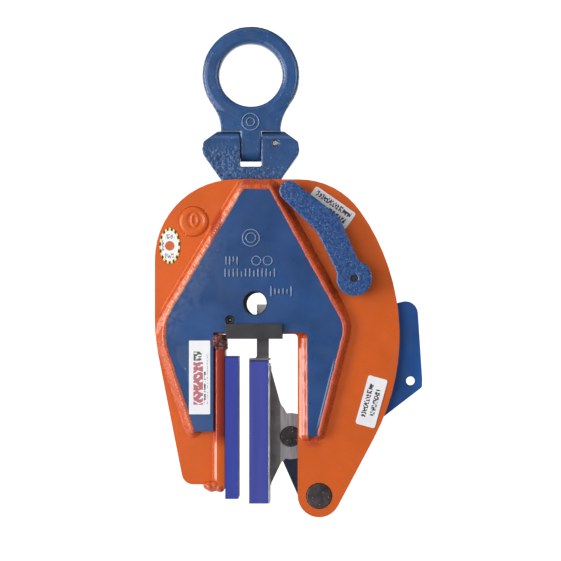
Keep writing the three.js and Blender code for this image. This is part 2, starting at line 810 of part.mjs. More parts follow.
// A headed pin: a low chamfered head in front of the fork.
function jawPin() {
  const headR = 11;
  const seat = -CHEEK_OUT - GAP;
  const front = -13.8;
  const rear = 13;
  const profile = [
    [0, front],
    [headR - 0.8, front],
    [headR, front + 0.6],
    [headR, seat],
    [JAW_PIN_R, seat],
    [JAW_PIN_R, rear],
    [0, rear],
  ];
  return turned(JAW_PIN, profile, 32);
}

function addMovingJaw() {
  const keeper = ring(JAW_PIN, JAW_PIN_R + 0.4, 10, CHEEK_OUT + GAP, CHEEK_OUT + 1.3);
  add("jaw_bracket", jawBracket(), GREY_STEEL());
  add("moving_pad", movingPad(), URETHANE());
  add("pad_backing_plate", backingPlate(), BRIGHT_STEEL());
  add("jaw_pin", jawPin(), BLACK_STEEL());
  add("jaw_pin_ring", keeper, BLACK_STEEL());
  PAD_SCREW.drops.forEach((drop, i) => {
    const screw = padScrew(MOVING_PAD.left + 3, STEM.right, MOVING_PAD.top - drop);
    add(["moving_pad_screw_upper", "moving_pad_screw_lower"][i], screw, GREY_STEEL());
  });
}

// ---------------------------------------------------------------- lock lever

const LEVER = { inner: 31, outer: 39.5, hubR: 18.8, tipR: 10.6, bendR: 30, floor: 3 };
const SPIGOT_R = 13; // round foot behind the lever, and the crank's big end
const PLUG_R = 3.5;
const CRANK = { endR: 6.5, front: -13.4, rear: -8.6 };
const CRANK_PIN = [LEVER_PIVOT[0] + 15, LEVER_PIVOT[1] + 2];

// A bent handle, wider at its pivot than at its tip.
function leverOutline() {
  return [
    ...arc(...LEVER_TIP, LEVER.tipR, 227, 53),
    ...run([[46.4, -114.6], [92.3, -149.6, LEVER.bendR], [113, -195]]),
    ...arc(...LEVER_PIVOT, LEVER.hubR, 76, -197),
    ...run([[90.5, -208.7], [69.5, -166, LEVER.bendR], [33.4, -131]]),
  ];
}

function lockLever() {
  const handle = plate(leverOutline(), -LEVER.outer, -LEVER.inner);
  const spigot = pin(LEVER_PIVOT, SPIGOT_R, -LEVER.inner - 1, -COVER_IN - 1.4);
  const bore = pin(LEVER_PIVOT, SHAFT_R + PLAY, -LEVER.outer + LEVER.floor, -10);
  const keyhole = pin(LEVER_PIVOT, PLUG_R + 0.4, -THROUGH, -LEVER.inner + 1, 24);
  return cut(joined(handle, spigot), bore, keyhole);
}

function leverCrank() {
  const outline = [...arc(...LEVER_PIVOT, SPIGOT_R, 90, 270), ...arc(...CRANK_PIN, CRANK.endR, -90, 90)];
  const holes = [circle(...LEVER_PIVOT, SHAFT_R + PLAY), circle(...CRANK_PIN, SMALL_PIN_R + PLAY)];
  return plate(outline, CRANK.front, CRANK.rear, holes);
}

function addLever() {
  const face = -LEVER.outer;
  const shaft = dowel(LEVER_PIVOT, SHAFT_R, face + LEVER.floor + 0.4, PLATE_OUT + 5, 0.8);
  const collar = ring(LEVER_PIVOT, SHAFT_R + PLAY, 12, PLATE_OUT + 0.4, PLATE_OUT + 4);
  add("lock_lever", lockLever(), BLUE());
  add("lever_shaft", shaft, BRIGHT_STEEL());
  add("lever_end_plug", pin(LEVER_PIVOT, PLUG_R, face + 1.2, face + LEVER.floor), BLACK_STEEL());
  add("lever_crank", leverCrank(), GREY_STEEL());
  add("crank_pin", dowel(CRANK_PIN, SMALL_PIN_R, CRANK.front, 6, 0.5, 16), BRIGHT_STEEL());
  add("shaft_collar", collar, GREY_STEEL());
}

// ---------------------------------------------------------------- tension spring

// The spring's outer shape, as a bar that stops short of both pins by the length of its hooks.
const SPRING = { radius: 5.5, upperHook: 12, lowerHook: 40 };

function tensionSpring() {
  const from = new THREE.Vector3(CRANK_PIN[0], 0, CRANK_PIN[1]);
  const to = new THREE.Vector3(SPRING_FOOT[0], 0, SPRING_FOOT[1]);
  const way = to.clone().sub(from).normalize();
  const coil = new THREE.LineCurve3(
    from.clone().addScaledVector(way, SPRING.upperHook),
    to.clone().addScaledVector(way, -SPRING.lowerHook),
  );
  const section = new THREE.Shape(circle(0, 0, SPRING.radius));
  return new THREE.ExtrudeGeometry(section, { steps: 1, bevelEnabled: false, extrudePath: coil });
}

function addSpring() {
  add("tension_spring", tensionSpring(), GREY_STEEL());
  add("spring_foot_pin", dowel(SPRING_FOOT, SMALL_PIN_R, -CORE_HALF, 13, 0.5, 16), BRIGHT_STEEL());
}

// ---------------------------------------------------------------- labels

const FACE = PLATE_OUT + GAP;
const STICKER_THICK = 0.4;

// A rectangular sticker on a face, turned by an angle in degrees.
function label(centre, [width, height], turn, yFace, cornerR) {
  const [w, h] = [width / 2, height / 2];
  const outline = rounded([[-w, -h, cornerR], [w, -h, cornerR], [w, h, cornerR], [-w, h, cornerR]]);
  const [c, s] = [Math.cos(turn * DEG), Math.sin(turn * DEG)];
  const placed = outline.map((p) => new THREE.Vector2(
    centre[0] + p.x * c - p.y * s,
    centre[1] + p.x * s + p.y * c,
  ));
  return plate(placed, yFace - STICKER_THICK, yFace);
}

function oval([x, z], halfX, halfZ, yFace) {
  const outline = circle(0, 0, 1).map((p) => new THREE.Vector2(x + p.x * halfX, z + p.y * halfZ));
  return plate(outline, yFace - STICKER_THICK, yFace);
}

function addLabels() {
  add("label_closed", label([84.1, -140.3], [51, 20.4], -35, -FACE, 2.4), STICKER());
  add("label_open", label([126.7, -343.4], [52.5, 21], 74.5, -FACE, 2.4), STICKER());
  add("rating_label", label([-53, -317.9], [77, 22.2], 90, -COVER_OUT - GAP, 1), STICKER());
  add("inspection_sticker", oval([-84.6, -180.2], 10.8, 19, -FACE), STICKER());
}

// ---------------------------------------------------------------- assembly

addEye();
addShackle();
addLinks();
addBody();
addFixedPad();
addGuard();
addCam();
addMovingJaw();
addLever();
addSpring();
addLabels();

export default clamp;
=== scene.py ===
import json
import math

import bmesh
import bpy
import numpy as np
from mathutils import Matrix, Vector


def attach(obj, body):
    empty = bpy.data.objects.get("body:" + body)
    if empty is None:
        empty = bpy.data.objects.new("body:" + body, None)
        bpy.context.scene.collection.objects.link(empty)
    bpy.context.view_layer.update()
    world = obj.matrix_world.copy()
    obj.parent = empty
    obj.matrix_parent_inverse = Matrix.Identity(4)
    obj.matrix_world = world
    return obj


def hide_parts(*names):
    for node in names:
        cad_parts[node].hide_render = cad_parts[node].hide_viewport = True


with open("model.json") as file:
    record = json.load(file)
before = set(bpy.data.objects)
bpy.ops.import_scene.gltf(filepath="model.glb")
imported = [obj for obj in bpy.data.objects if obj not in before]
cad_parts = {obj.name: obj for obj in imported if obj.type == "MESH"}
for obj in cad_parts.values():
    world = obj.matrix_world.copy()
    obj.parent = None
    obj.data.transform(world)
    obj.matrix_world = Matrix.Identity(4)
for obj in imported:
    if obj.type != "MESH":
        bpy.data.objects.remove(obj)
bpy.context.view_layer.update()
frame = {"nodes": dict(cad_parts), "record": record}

MM = 0.001
NODES = frame["nodes"]
RECORD = frame["record"]
BODY_OF = {node: body for body, members in RECORD["behaviour"]["bodies"].items() for node in members}

# Layers, as distances in mm from the clamp's middle plane.
PLATE_SKIN = 21.8  # just under the side plates' faces
COVER_FACE = 30
EYE_FACE = 10

# Places on the clamp, as (x, z) in mm.
CRANK_PIN = (123.5, -212.4)
SPRING_FOOT = (134, -330)
BOSS = (-59.7, -154.6)
SIGHT_HOLE = (5, -240.2)
SCREW_HOLE = (-21.6, -257.9)
CAM_TAB_HOLE = (167.9, -321.8)
EYE_STAMP = (0, -49.5)
CLOSED_LABEL = (84.1, -140.3)
OPEN_LABEL = (126.7, -343.4)
RATING_LABEL = (-53, -317.9)
STICKER = (-84.6, -180.2)

# Heights and sizes on the clamp in mm.
NECK_SHOULDER = -58.6
BOSS_R = 15.8
FIXED_PAD_TOP = -295.7
MOVING_PAD_TOP = -299.9


# ---------------------------------------------------------------- mesh tools


def smooth_noise(points, size, seed=0):
    """Noise from -1 to 1 at points in mm, with features of about that size."""
    place = points / size + 31.7 * (seed + 1)
    cell = np.floor(place).astype(np.int64)
    part = place - cell
    part = part * part * (3 - 2 * part)
    total = np.zeros(len(points))
    for corner in np.ndindex(2, 2, 2):
        at = cell + corner
        key = at[:, 0] * 73856093 ^ at[:, 1] * 19349663 ^ at[:, 2] * 83492791 ^ (seed * 2654435 + 12345)
        key = (key ^ (key >> 13)) * 1274126177 & 0x7FFFFFFF
        key = (key ^ (key >> 16)) & 0xFFFF
        weight = np.prod(np.where(corner, part, 1 - part), axis=1)
        total += weight * (key / 32767.5 - 1)
    return total


WELD_REACH = 2e-6  # metres
FLAT_ANGLE = math.radians(1)
BEVEL_ANGLE = math.radians(32)
CORNER_STEP = 7  # degrees between the points of a rounded corner


def read_points(obj):
    """The object's points as rows of x, y and z in mm."""
    points = np.empty(len(obj.data.vertices) * 3)
    obj.data.vertices.foreach_get("co", points)
    return points.reshape(-1, 3) / MM


def write_points(obj, points):
    """Puts the object's points at these places in mm."""
    obj.data.vertices.foreach_set("co", (points * MM).ravel())
    obj.data.update()


def new_object(name, points, faces):
    """An object from points in mm."""
    mesh = bpy.data.meshes.new(name)
    mesh.from_pydata((np.asarray(points, float) * MM).tolist(), [], faces)
    mesh.validate()
    obj = bpy.data.objects.new(name, mesh)
    bpy.context.scene.collection.objects.link(obj)
    return obj


def tidy_mesh(obj, work):
    """Runs a function on the object's mesh as a bmesh."""
    mesh = bmesh.new()
    mesh.from_mesh(obj.data)
    work(mesh)
    mesh.to_mesh(obj.data)
    mesh.free()


def face_out(obj):
    """Turns every face outwards."""
    tidy_mesh(obj, lambda mesh: bmesh.ops.recalc_face_normals(mesh, faces=mesh.faces))


def settle(obj):
    """Applies the object's modifiers to its mesh."""
    depsgraph = bpy.context.evaluated_depsgraph_get()
    mesh = bpy.data.meshes.new_from_object(obj.evaluated_get(depsgraph))
    obj.modifiers.clear()
    obj.data = mesh
    return obj


def shade(obj, sharp=40):
    """Smooth shading, with flat faces kept flat and creases over the angle kept sharp."""
    obj.data.shade_smooth()
    obj.data.set_sharp_from_angle(angle=math.radians(sharp))
    weighted = obj.modifiers.new("weighted", "WEIGHTED_NORMAL")
    weighted.keep_sharp = True
    return settle(obj)


def node_copy(name, node):
    """A copy of a CAD node's mesh, welded, with its flat faces whole."""
    mesh = NODES[node].data
    points = [tuple(v.co / MM) for v in mesh.vertices]
    obj = new_object(name, points, [tuple(polygon.vertices) for polygon in mesh.polygons])

    def weld(mesh):
        bmesh.ops.remove_doubles(mesh, verts=mesh.verts, dist=WELD_REACH)
        bmesh.ops.dissolve_limit(mesh, angle_limit=FLAT_ANGLE, verts=mesh.verts, edges=mesh.edges)

    tidy_mesh(obj, weld)
    return obj


def bevelled(name, node, width):
    """A copy of a CAD node with its edges rounded, width in mm."""
    obj = node_copy(name, node)
    bevel = obj.modifiers.new("bevel", "BEVEL")
    bevel.width = width * MM
    bevel.segments = 3
    bevel.limit_method = "ANGLE"
    bevel.angle_limit = BEVEL_ANGLE
    bevel.use_clamp_overlap = True
    settle(obj)
    return shade(obj)


def cast_copy(name, node, voxel, smoothing):
    """A copy of a CAD node as one even skin of that fineness in mm, its edges rounded by smoothing."""
    obj = node_copy(name, node)
    remesh = obj.modifiers.new("remesh", "REMESH")
    remesh.mode = "VOXEL"
    remesh.voxel_size = voxel * MM
    smooth = obj.modifiers.new("smooth", "SMOOTH")
    smooth.factor = 0.5
    smooth.iterations = smoothing
    settle(obj)
    obj.data.shade_smooth()
    return obj


def push(obj, height):
    """Moves each point along its normal by height(points), all in mm."""
    normals = np.empty(len(obj.data.vertices) * 3)
    obj.data.vertex_normals.foreach_get("vector", normals)
    points = read_points(obj)
    write_points(obj, points + normals.reshape(-1, 3) * height(points)[:, None])
    return obj


def arc_corner(before, at, after):
    """Points of a rounded corner, at being (x, z, radius)."""
    here, radius = np.array(at[:2], float), at[2] if len(at) > 2 else 0
    if not radius:
        return [here]
    back = np.array(before[:2], float) - here
    ahead = np.array(after[:2], float) - here
    back, ahead = back / np.linalg.norm(back), ahead / np.linalg.norm(ahead)
    half = math.acos(np.clip(back @ ahead, -1, 1)) / 2
    middle = back + ahead
    centre = here + middle / np.linalg.norm(middle) * radius / math.sin(half)
    reach = radius / math.tan(half)
    start, end = here + back * reach - centre, here + ahead * reach - centre
    turn = math.atan2(start[0] * end[1] - start[1] * end[0], start @ end)
    first = math.atan2(start[1], start[0])
    count = max(2, round(abs(math.degrees(turn)) / CORNER_STEP))
    angles = first + turn * np.arange(count + 1) / count
    return [centre + radius * np.array([math.cos(a), math.sin(a)]) for a in angles]


def rounded_run(corners):
    """An open line through corners (x, z, radius), rounded at all but its ends."""
    points = [np.array(corners[0][:2], float)]
    for before, at, after in zip(corners, corners[1:], corners[2:]):
        points += arc_corner(before, at, after)
    return np.array(points + [np.array(corners[-1][:2], float)])


def resampled(line, step):
    """The line's points at even steps in mm, and how far along it each one lies."""
    lengths = np.concatenate([[0], np.cumsum(np.linalg.norm(np.diff(line, axis=0), axis=1))])
    count = max(2, round(lengths[-1] / step))
    along = np.linspace(0, lengths[-1], count + 1)
    return np.stack([np.interp(along, lengths, line[:, k]) for k in range(2)], axis=1), along


BEAD_STEP = 0.7  # mm between a weld bead's sections
BEAD_COLUMNS = 13  # points across a weld bead's skin
BEAD_SINK = 1.2  # mm that its foot lies under its lowest point


def bead_rows(corners, section, seed, pitch, ripple, rough, wander, slim, fade):
    """The skin of a weld bead on the front, as rows of points that each cross it."""
    line, along = resampled(rounded_run(corners), BEAD_STEP)
    ahead = np.gradient(line, axis=0)
    ahead /= np.linalg.norm(ahead, axis=1)[:, None]
    out = np.stack([-ahead[:, 1], ahead[:, 0]], axis=1)
    knots = np.array(section, float)
    share = np.linspace(0, 1, BEAD_COLUMNS)
    spread = np.linspace(0, 1, len(knots))
    offsets = np.interp(share, spread, knots[:, 0])
    levels = np.interp(share, spread, knots[:, 1])
    arch = np.sin(np.pi * share)
    rows = []
    for s, at, way in zip(along, line, out):
        probe = np.array([[s, 0.0, seed * 7.0]])
        lateral = wander * smooth_noise(probe, 6, seed)[0]
        swell = 1 + 0.16 * smooth_noise(probe, 11, seed + 3)[0]
        phase = s - 1.7 * arch + 0.7 * smooth_noise(probe, 5, seed + 5)[0]
        wave = ripple * arch * np.sin(2 * np.pi * phase / pitch)
        end = math.sqrt(min(1.0, max(0.0, min(s, along[-1] - s) / fade)))
        width = (slim(at) if slim else 1.0) * (0.3 + 0.7 * end)
        reach = np.where(offsets > 0, offsets * width, offsets)
        spots = at + np.outer(reach * (0.94 + 0.06 * swell) + lateral * (1 - arch), way)
        height = levels + arch * (swell - 1) * 1.6 + wave
        height = PLATE_SKIN + (height - PLATE_SKIN) * end
        rows.append(np.column_stack([spots[:, 0], height, spots[:, 1]]))
    rows = np.array(rows)
    grain = smooth_noise(rows.reshape(-1, 3), 1.5, seed + 8).reshape(rows.shape[:2])
    rows[:, :, 1] += rough * grain * (0.35 + 0.65 * arch)
    return rows


def with_foot(rows, lowest):
    """The same rows, each closed by two points under its ends."""
    base = np.minimum(rows[:, [-1, 0], 1], lowest) - BEAD_SINK
    for column, k in ((-1, 0), (0, 1)):
        foot = rows[:, column].copy()
        foot[:, 1] = base[:, k]
        rows = np.concatenate([rows, foot[:, None]], axis=1)
    return rows


def bead(name, corners, section, side, seed, pitch, ripple, rough, wander, slim=None, fade=4.0):
    """A weld bead along the left of a line, on the front with side -1 or the rear with side 1.

    section gives (offset, distance from the middle plane) pairs in mm, from the inner toe to the outer.
    slim(point) scales its outer part, and its ends sink into the plate over fade mm.
    """
    rows = bead_rows(corners, section, seed, pitch, ripple, rough, wander, slim, fade)
    rows = with_foot(rows, min(level for _, level in section))
    count = rows.shape[1]
    rows[:, :, 1] *= side
    faces = []
    for i in range(len(rows) - 1):
        for k in range(count):
            a, b = i * count + k, i * count + (k + 1) % count
            faces.append((a, b, b + count, a + count))
    faces.append(tuple(range(count)))
    faces.append(tuple(range((len(rows) - 1) * count, len(rows) * count)))
    obj = new_object(name, rows.reshape(-1, 3), faces)
    face_out(obj)
    return shade(obj, 60)


LUMP_VOXEL = 0.7  # mm


def lump(name, balls, seed, rough=0.35):
    """A run of weld metal from overlapping balls (x, y, z, radius), melted into one skin."""
    obj = new_object(name, [], [])

    def pile(mesh):
        for x, y, z, radius in balls:
            made = bmesh.ops.create_icosphere(mesh, subdivisions=3, radius=radius * MM)
            bmesh.ops.translate(mesh, verts=made["verts"], vec=Vector((x, y, z)) * MM)

    tidy_mesh(obj, pile)
    remesh = obj.modifiers.new("remesh", "REMESH")
    remesh.mode = "VOXEL"
    remesh.voxel_size = LUMP_VOXEL * MM
    smooth = obj.modifiers.new("smooth", "SMOOTH")
    smooth.iterations = 3
    settle(obj)
    obj.data.shade_smooth()

    def skin(p):
        return rough * smooth_noise(p, 2.6, seed) + 0.3 * rough * smooth_noise(p, 1.3, seed + 1)

    return push(obj, skin)


def wire(name, points, radius, closed=False):
    """A round wire through points in mm, as a mesh."""
    curve = bpy.data.curves.new(name, "CURVE")
    curve.dimensions = "3D"
    curve.bevel_depth = radius * MM
    curve.bevel_resolution = 2
    curve.use_fill_caps = True
    spline = curve.splines.new("POLY")
    spline.points.add(len(points) - 1)
    for slot, point in zip(spline.points, points):
        slot.co = (*(np.array(point) * MM), 1)
    spline.use_cyclic_u = closed
    line = bpy.data.objects.new(name + ".line", curve)
    bpy.context.scene.collection.objects.link(line)
    depsgraph = bpy.context.evaluated_depsgraph_get()
    mesh = bpy.data.meshes.new_from_object(line.evaluated_get(depsgraph))
    bpy.data.objects.remove(line)
    obj = bpy.data.objects.new(name, mesh)
    bpy.context.scene.collection.objects.link(obj)
    obj.data.shade_smooth()
    return obj


def round_face(centre, rings, height, sides):
    """A round skin about (x, z) that faces the front.

    rings are its radii in mm, and height(dx, dz, radius) is its distance from the middle plane.
    """
    points = [(centre[0], -height(0, 0, 0), centre[1])]
    for radius in rings:
        for k in range(sides):
            angle = 2 * math.pi * k / sides
            dx, dz = radius * math.cos(angle), radius * math.sin(angle)
            points.append((centre[0] + dx, -height(dx, dz, radius), centre[1] + dz))
    faces = [(0, 1 + (k + 1) % sides, 1 + k) for k in range(sides)]
    for i in range(len(rings) - 1):
        for k in range(sides):
            a, b = 1 + i * sides + k, 1 + i * sides + (k + 1) % sides
            faces.append((a, b, b + sides, a + sides))
    return points, faces


def joined(name, *objects):
    """The meshes of several objects as one, which takes the name."""
    mesh = bmesh.new()
    for obj in objects:
        mesh.from_mesh(obj.data)
    data = bpy.data.meshes.new(name)
    mesh.to_mesh(data)
    mesh.free()
    for obj in objects:
        bpy.data.objects.remove(obj)
    result = bpy.data.objects.new(name, data)
    bpy.context.scene.collection.objects.link(result)
    return result


# ---------------------------------------------------------------- materials


# Colours, as linear RGB.
BLUE = (0.011, 0.054, 0.180)
BLUE_EYE = (0.019, 0.069, 0.198)
BLUE_TAB = (0.007, 0.085, 0.34)
ORANGE = (0.61, 0.100, 0.009)
# Dark red of the painted shade over the jaw weld's upper part.
PAINTED_SHADE_RED = (0.34, 0.03, 0.010)
# Near black of the painted shade in the holes.
HOLE_SHADE = (0.006, 0.007, 0.011)
INK = (0.03, 0.03, 0.035)
WHITE_FILM = (0.78, 0.78, 0.82), (0.86, 0.86, 0.89)

# Directions and starting points (mm) of lines along the reinforcement's two slopes.
LEFT_SLOPE = ((-0.858, 0, 0.513), (-8.6, 0, -117.6))
RIGHT_LEG = ((0.970, 0, -0.243), (101.7, 0, -263.6))


class Finish:
    """A node material, with short calls for what the clamp's finishes are made of."""

    def __init__(self, name):
        self.material = bpy.data.materials.new(name)
        self.material.use_nodes = True
        self.tree = self.material.node_tree
        self.shader = self.tree.nodes["Principled BSDF"]
        self.place = self.node("ShaderNodeTexCoord").outputs["Object"]
        self.normal = None

    def node(self, kind, **settings):
        node = self.tree.nodes.new(kind)
        for key, value in settings.items():
            setattr(node, key, value)
        return node

    def put(self, socket, value):
        if isinstance(value, bpy.types.NodeSocket):
            self.tree.links.new(value, socket)
        elif isinstance(value, (tuple, list)) and len(value) == 3 and socket.type == "RGBA":
            socket.default_value = (*value, 1)
        else:
            socket.default_value = value

    def math(self, operation, *values):
        """The result of a Math node."""
        node = self.node("ShaderNodeMath", operation=operation)
        for socket, value in zip(node.inputs, values):
            self.put(socket, value)
        return node.outputs[0]

    def times(self, a, b):
        return self.math("MULTIPLY", a, b)

    def length(self, a, b):
        """Length of the flat vector (a, b)."""
        return self.math("SQRT", self.math("ADD", self.times(a, a), self.times(b, b)))

    def vector(self, operation, output, *values):
        node = self.node("ShaderNodeVectorMath", operation=operation)
        for socket, value in zip(node.inputs, values):
            self.put(socket, value)
        return node.outputs[output]

    def along(self, direction, origin=(0, 0, 0)):
        """Distance in mm from an origin (mm) along a direction."""
        moved = self.vector("SUBTRACT", "Vector", self.place, tuple(c * MM for c in origin))
        length = math.sqrt(sum(c * c for c in direction))
        scaled = tuple(c / length / MM for c in direction)
        return self.vector("DOT_PRODUCT", "Value", moved, scaled)

    def x_from(self, x):
        """Distance in mm to the right of x."""
        return self.along((1, 0, 0), (x, 0, 0))

    def z_from(self, z):
        """Distance in mm above z."""
        return self.along((0, 0, 1), (0, 0, z))

    def around(self, centre):
        """Distance in mm from an axis along Y through (x, z)."""
        return self.length(self.x_from(centre[0]), self.z_from(centre[1]))

    def noise(self, size, detail=2.0, stretch=(1, 1, 1), seed=0.0):
        """Noise from 0 to 1 with features of about size mm."""
        mapping = self.node("ShaderNodeMapping")
        self.put(mapping.inputs["Vector"], self.place)
        mapping.inputs["Scale"].default_value = [1 / c for c in stretch]
        mapping.inputs["Location"].default_value = (seed, seed * 0.7, seed * 1.3)
        noise = self.node("ShaderNodeTexNoise")
        self.put(noise.inputs["Vector"], mapping.outputs[0])
        noise.inputs["Scale"].default_value = 1 / (size * MM) * 0.6
        noise.inputs["Detail"].default_value = detail
        noise.inputs["Roughness"].default_value = 0.55
        return noise.outputs[0]

    def span(self, value, low, high, to_low=0.0, to_high=1.0):
        """value from low..high to to_low..to_high, clamped."""
        node = self.node("ShaderNodeMapRange", clamp=True)
        for socket, number in zip(node.inputs, (value, low, high, to_low, to_high)):
            self.put(socket, number)
        return node.outputs[0]

    def mix(self, factor, a, b):
        node = self.node("ShaderNodeMix", data_type="RGBA")
        self.put(node.inputs["Factor"], factor)
        self.put(node.inputs["A"], a)
        self.put(node.inputs["B"], b)
        return next(s for s in node.outputs if s.type == "RGBA")

    def dots(self, cell, radius, share):
        """Sparse round specks in that share of the cells: 1 inside them, 0 outside. Sizes are in mm."""
        cells = self.node("ShaderNodeTexVoronoi")
        self.put(cells.inputs["Vector"], self.place)
        cells.inputs["Scale"].default_value = 1 / (cell * MM)
        near = self.math("LESS_THAN", cells.outputs["Distance"], radius / cell)
        split = self.node("ShaderNodeSeparateColor")
        self.put(split.inputs[0], cells.outputs["Color"])
        chosen = self.math("LESS_THAN", split.outputs[0], share)
        return self.times(near, chosen)

    def bump(self, height, depth):
        """Adds relief: height from 0 to 1, depth in mm."""
        node = self.node("ShaderNodeBump")
        node.inputs["Strength"].default_value = 1.0
        node.inputs["Distance"].default_value = depth * MM
        self.put(node.inputs["Height"], height)
        if self.normal is not None:
            self.put(node.inputs["Normal"], self.normal)
        self.normal = node.outputs[0]

    def hole_painted_shade(self, tone):
        """Painted shade on the walls of the sight hole and the guard screw's hole."""
        for centre, radius in ((SIGHT_HOLE, 12.9), (SCREW_HOLE, 5)):
            inside = self.span(self.around(centre), radius - 0.15, radius + 0.25, 1, 0)
            tone = self.mix(inside, tone, HOLE_SHADE)
        return tone

    def done(self, color, rough, metallic=0.0, specular=0.5, coat=0.0):
        """Fills in the shader and gives the material."""
        shader = self.shader
        self.put(shader.inputs["Base Color"], color)
        self.put(shader.inputs["Roughness"], rough)
        shader.inputs["Metallic"].default_value = metallic
        shader.inputs["Specular IOR Level"].default_value = specular
        shader.inputs["Coat Weight"].default_value = coat
        shader.inputs["Coat Roughness"].default_value = 0.15
        if self.normal is not None:
            self.put(shader.inputs["Normal"], self.normal)
            self.put(shader.inputs["Coat Normal"], self.normal)
        return self.material


def toned(color, factor):
    """The colour made lighter or darker."""
    return tuple(min(1.0, c * factor) for c in color)


def paint(name, color, dark, light, rough, relief, specks=None, blotch=22, coat=0.2, specular=0.5,
          touch=None):
    """Sprayed gloss paint with cloudy shade from dark to light and relief of (size, depth) in mm.

    specks are (cell, radius, share, color), and touch(f, tone) adds marks.
    """
    f = Finish(name)
    cloud = f.noise(blotch, 3)
    tone = f.mix(f.span(cloud, 0.35, 0.65), toned(color, dark), toned(color, light))
    fine = f.noise(1.1, 2, seed=3)
    tone = f.mix(f.span(fine, 0.3, 0.75, 0, 0.12), tone, toned(color, 1.5))
    if specks:
        cell, radius, share, bright = specks
        tone = f.mix(f.dots(cell, radius, share), tone, bright)
    if touch:
        tone = touch(f, tone)
    for i, (size, depth) in enumerate(relief):
        f.bump(f.noise(size, 2, seed=5 + i), depth)
    shine = f.span(f.noise(9, 3, seed=8), 0.3, 0.7, rough - 0.06, rough + 0.08)
    return f.done(tone, shine, specular=specular, coat=coat)


def plate_painted_shade(f, tone):
    """A dark red painted shadow under the tip of the right leg, and painted shade in the holes."""
    # Painted shadow under the right leg's tip.
    x = f.math("DIVIDE", f.x_from(66), 8)
    z = f.math("DIVIDE", f.z_from(-387.2), 3.4)
    tone = f.mix(f.span(f.length(x, z), 0.3, 1.6, 0.6, 0), tone, (0.34, 0.022, 0.012))
    return f.hole_painted_shade(tone)


def orange_body():
    specks = (26, 0.35, 0.3, (0.9, 0.6, 0.45))
    return paint("orange_paint", ORANGE, dark=0.93, light=1.05, rough=0.36,
                 relief=((9, 0.08), (1.8, 0.022)), specks=specks, blotch=34, coat=0.1, specular=0.35,
                 touch=plate_painted_shade)


def orange_weld():
    """Orange paint over weld metal: painted highlights on the left slope's crests, in a line beside the
    throat and down the jaw weld's ridge, and painted shade on the right side and over the jaw weld's upper
    part.
    """
    f = Finish("orange_weld")
    grain = f.noise(2.6, 3)
    tone = f.mix(f.span(grain, 0.34, 0.6), (0.46, 0.055, 0.010), (0.62, 0.105, 0.016))
    # Painted highlight on the crests of the left slope.
    slope = f.along(*LEFT_SLOPE)
    crest = f.times(f.span(slope, -4.2, -3.2), f.span(slope, 2.2, 3.4, 1, 0))
    crest = f.times(crest, f.span(f.x_from(-8), -4, 1, 1, 0))
    crest_painted_highlight = f.times(crest, f.span(f.noise(2.2, 3, seed=4), 0.36, 0.58, 0.2, 0.75))
    tone = f.mix(crest_painted_highlight, tone, (0.86, 0.40, 0.27))
    toe = f.times(f.span(slope, 5.6, 6.3), f.span(slope, 6.6, 7.4, 1, 0))
    tone = f.mix(f.times(toe, 0.4), tone, (0.85, 0.32, 0.18))
    # Painted shade, in noisy patches, on the right side of the beads.
    right = f.x_from(20)
    side = f.span(right, 0, 8)
    right_painted_shade = f.times(side, f.span(f.noise(5, 2, seed=7), 0.35, 0.6, 0.1, 0.45))
    tone = f.mix(right_painted_shade, tone, (0.42, 0.03, 0.010))
    # Painted highlight in a line beside the throat.
    across = f.math("ABSOLUTE", f.x_from(52.3))
    low = f.span(f.z_from(-286), -3, 0, 1, 0)
    line = f.times(f.span(across, 0.8, 2.0, 0.85, 0), low)
    tone = f.mix(line, tone, (0.95, 0.50, 0.36))
    # Painted highlight down the jaw weld's ridge.
    ridge = f.math("ABSOLUTE", f.x_from(-36.2))
    reach = f.math("ABSOLUTE", f.z_from(-405))
    gloss = f.times(f.span(ridge, 0.7, 1.7, 0.8, 0), f.span(reach, 17, 21, 1, 0))
    tone = f.mix(gloss, tone, (0.95, 0.52, 0.40))
    # Painted shade, dark red, over the jaw weld's upper part.
    upper = f.span(f.z_from(-385), 0, 10)
    jaw = f.times(upper, f.span(f.math("ABSOLUTE", f.x_from(-36)), 5, 6, 0.75, 0))
    tone = f.mix(jaw, tone, PAINTED_SHADE_RED)
    f.bump(f.noise(2.0, 3, seed=2), 0.08)
    return f.done(tone, f.span(grain, 0.3, 0.7, 0.36, 0.24), specular=0.4, coat=0.3)


def weld_painted_shade():
    """Weld metal in painted shade, near black to dark red-brown, with flecks of red."""
    f = Finish("weld_painted_shade")
    grain = f.noise(2.6, 3)
    tone = f.mix(f.span(grain, 0.4, 0.62), (0.02, 0.012, 0.01), (0.16, 0.025, 0.018))
    f.bump(f.noise(1.6, 3, seed=2), 0.2)
    return f.done(tone, 0.42, metallic=0.2)


def jaw_orange():
    """Orange paint that lies in the shade of the fixed pad, dark red in its upper part."""
    f = Finish("jaw_orange")
    cloud = f.noise(9, 3, stretch=(1, 1, 2))
    lit = f.mix(f.span(cloud, 0.3, 0.7), toned(ORANGE, 0.85), toned(ORANGE, 1.05))
    right = f.span(f.x_from(-36), 0, 9)
    shade_tone = f.mix(right, (0.36, 0.03, 0.008), (0.12, 0.008, 0.005))
    upper = f.span(f.z_from(-392), 0, 14)
    tone = f.mix(upper, lit, shade_tone)
    f.bump(f.noise(5, 2), 0.12)
    return f.done(tone, 0.4, specular=0.25)


def blue_forging():
    return paint("blue_forging", BLUE_EYE, dark=0.85, light=1.15, rough=0.3,
                 relief=((3.5, 0.08), (1.2, 0.08)), specks=(3.4, 0.55, 0.3, (0.10, 0.19, 0.38)))


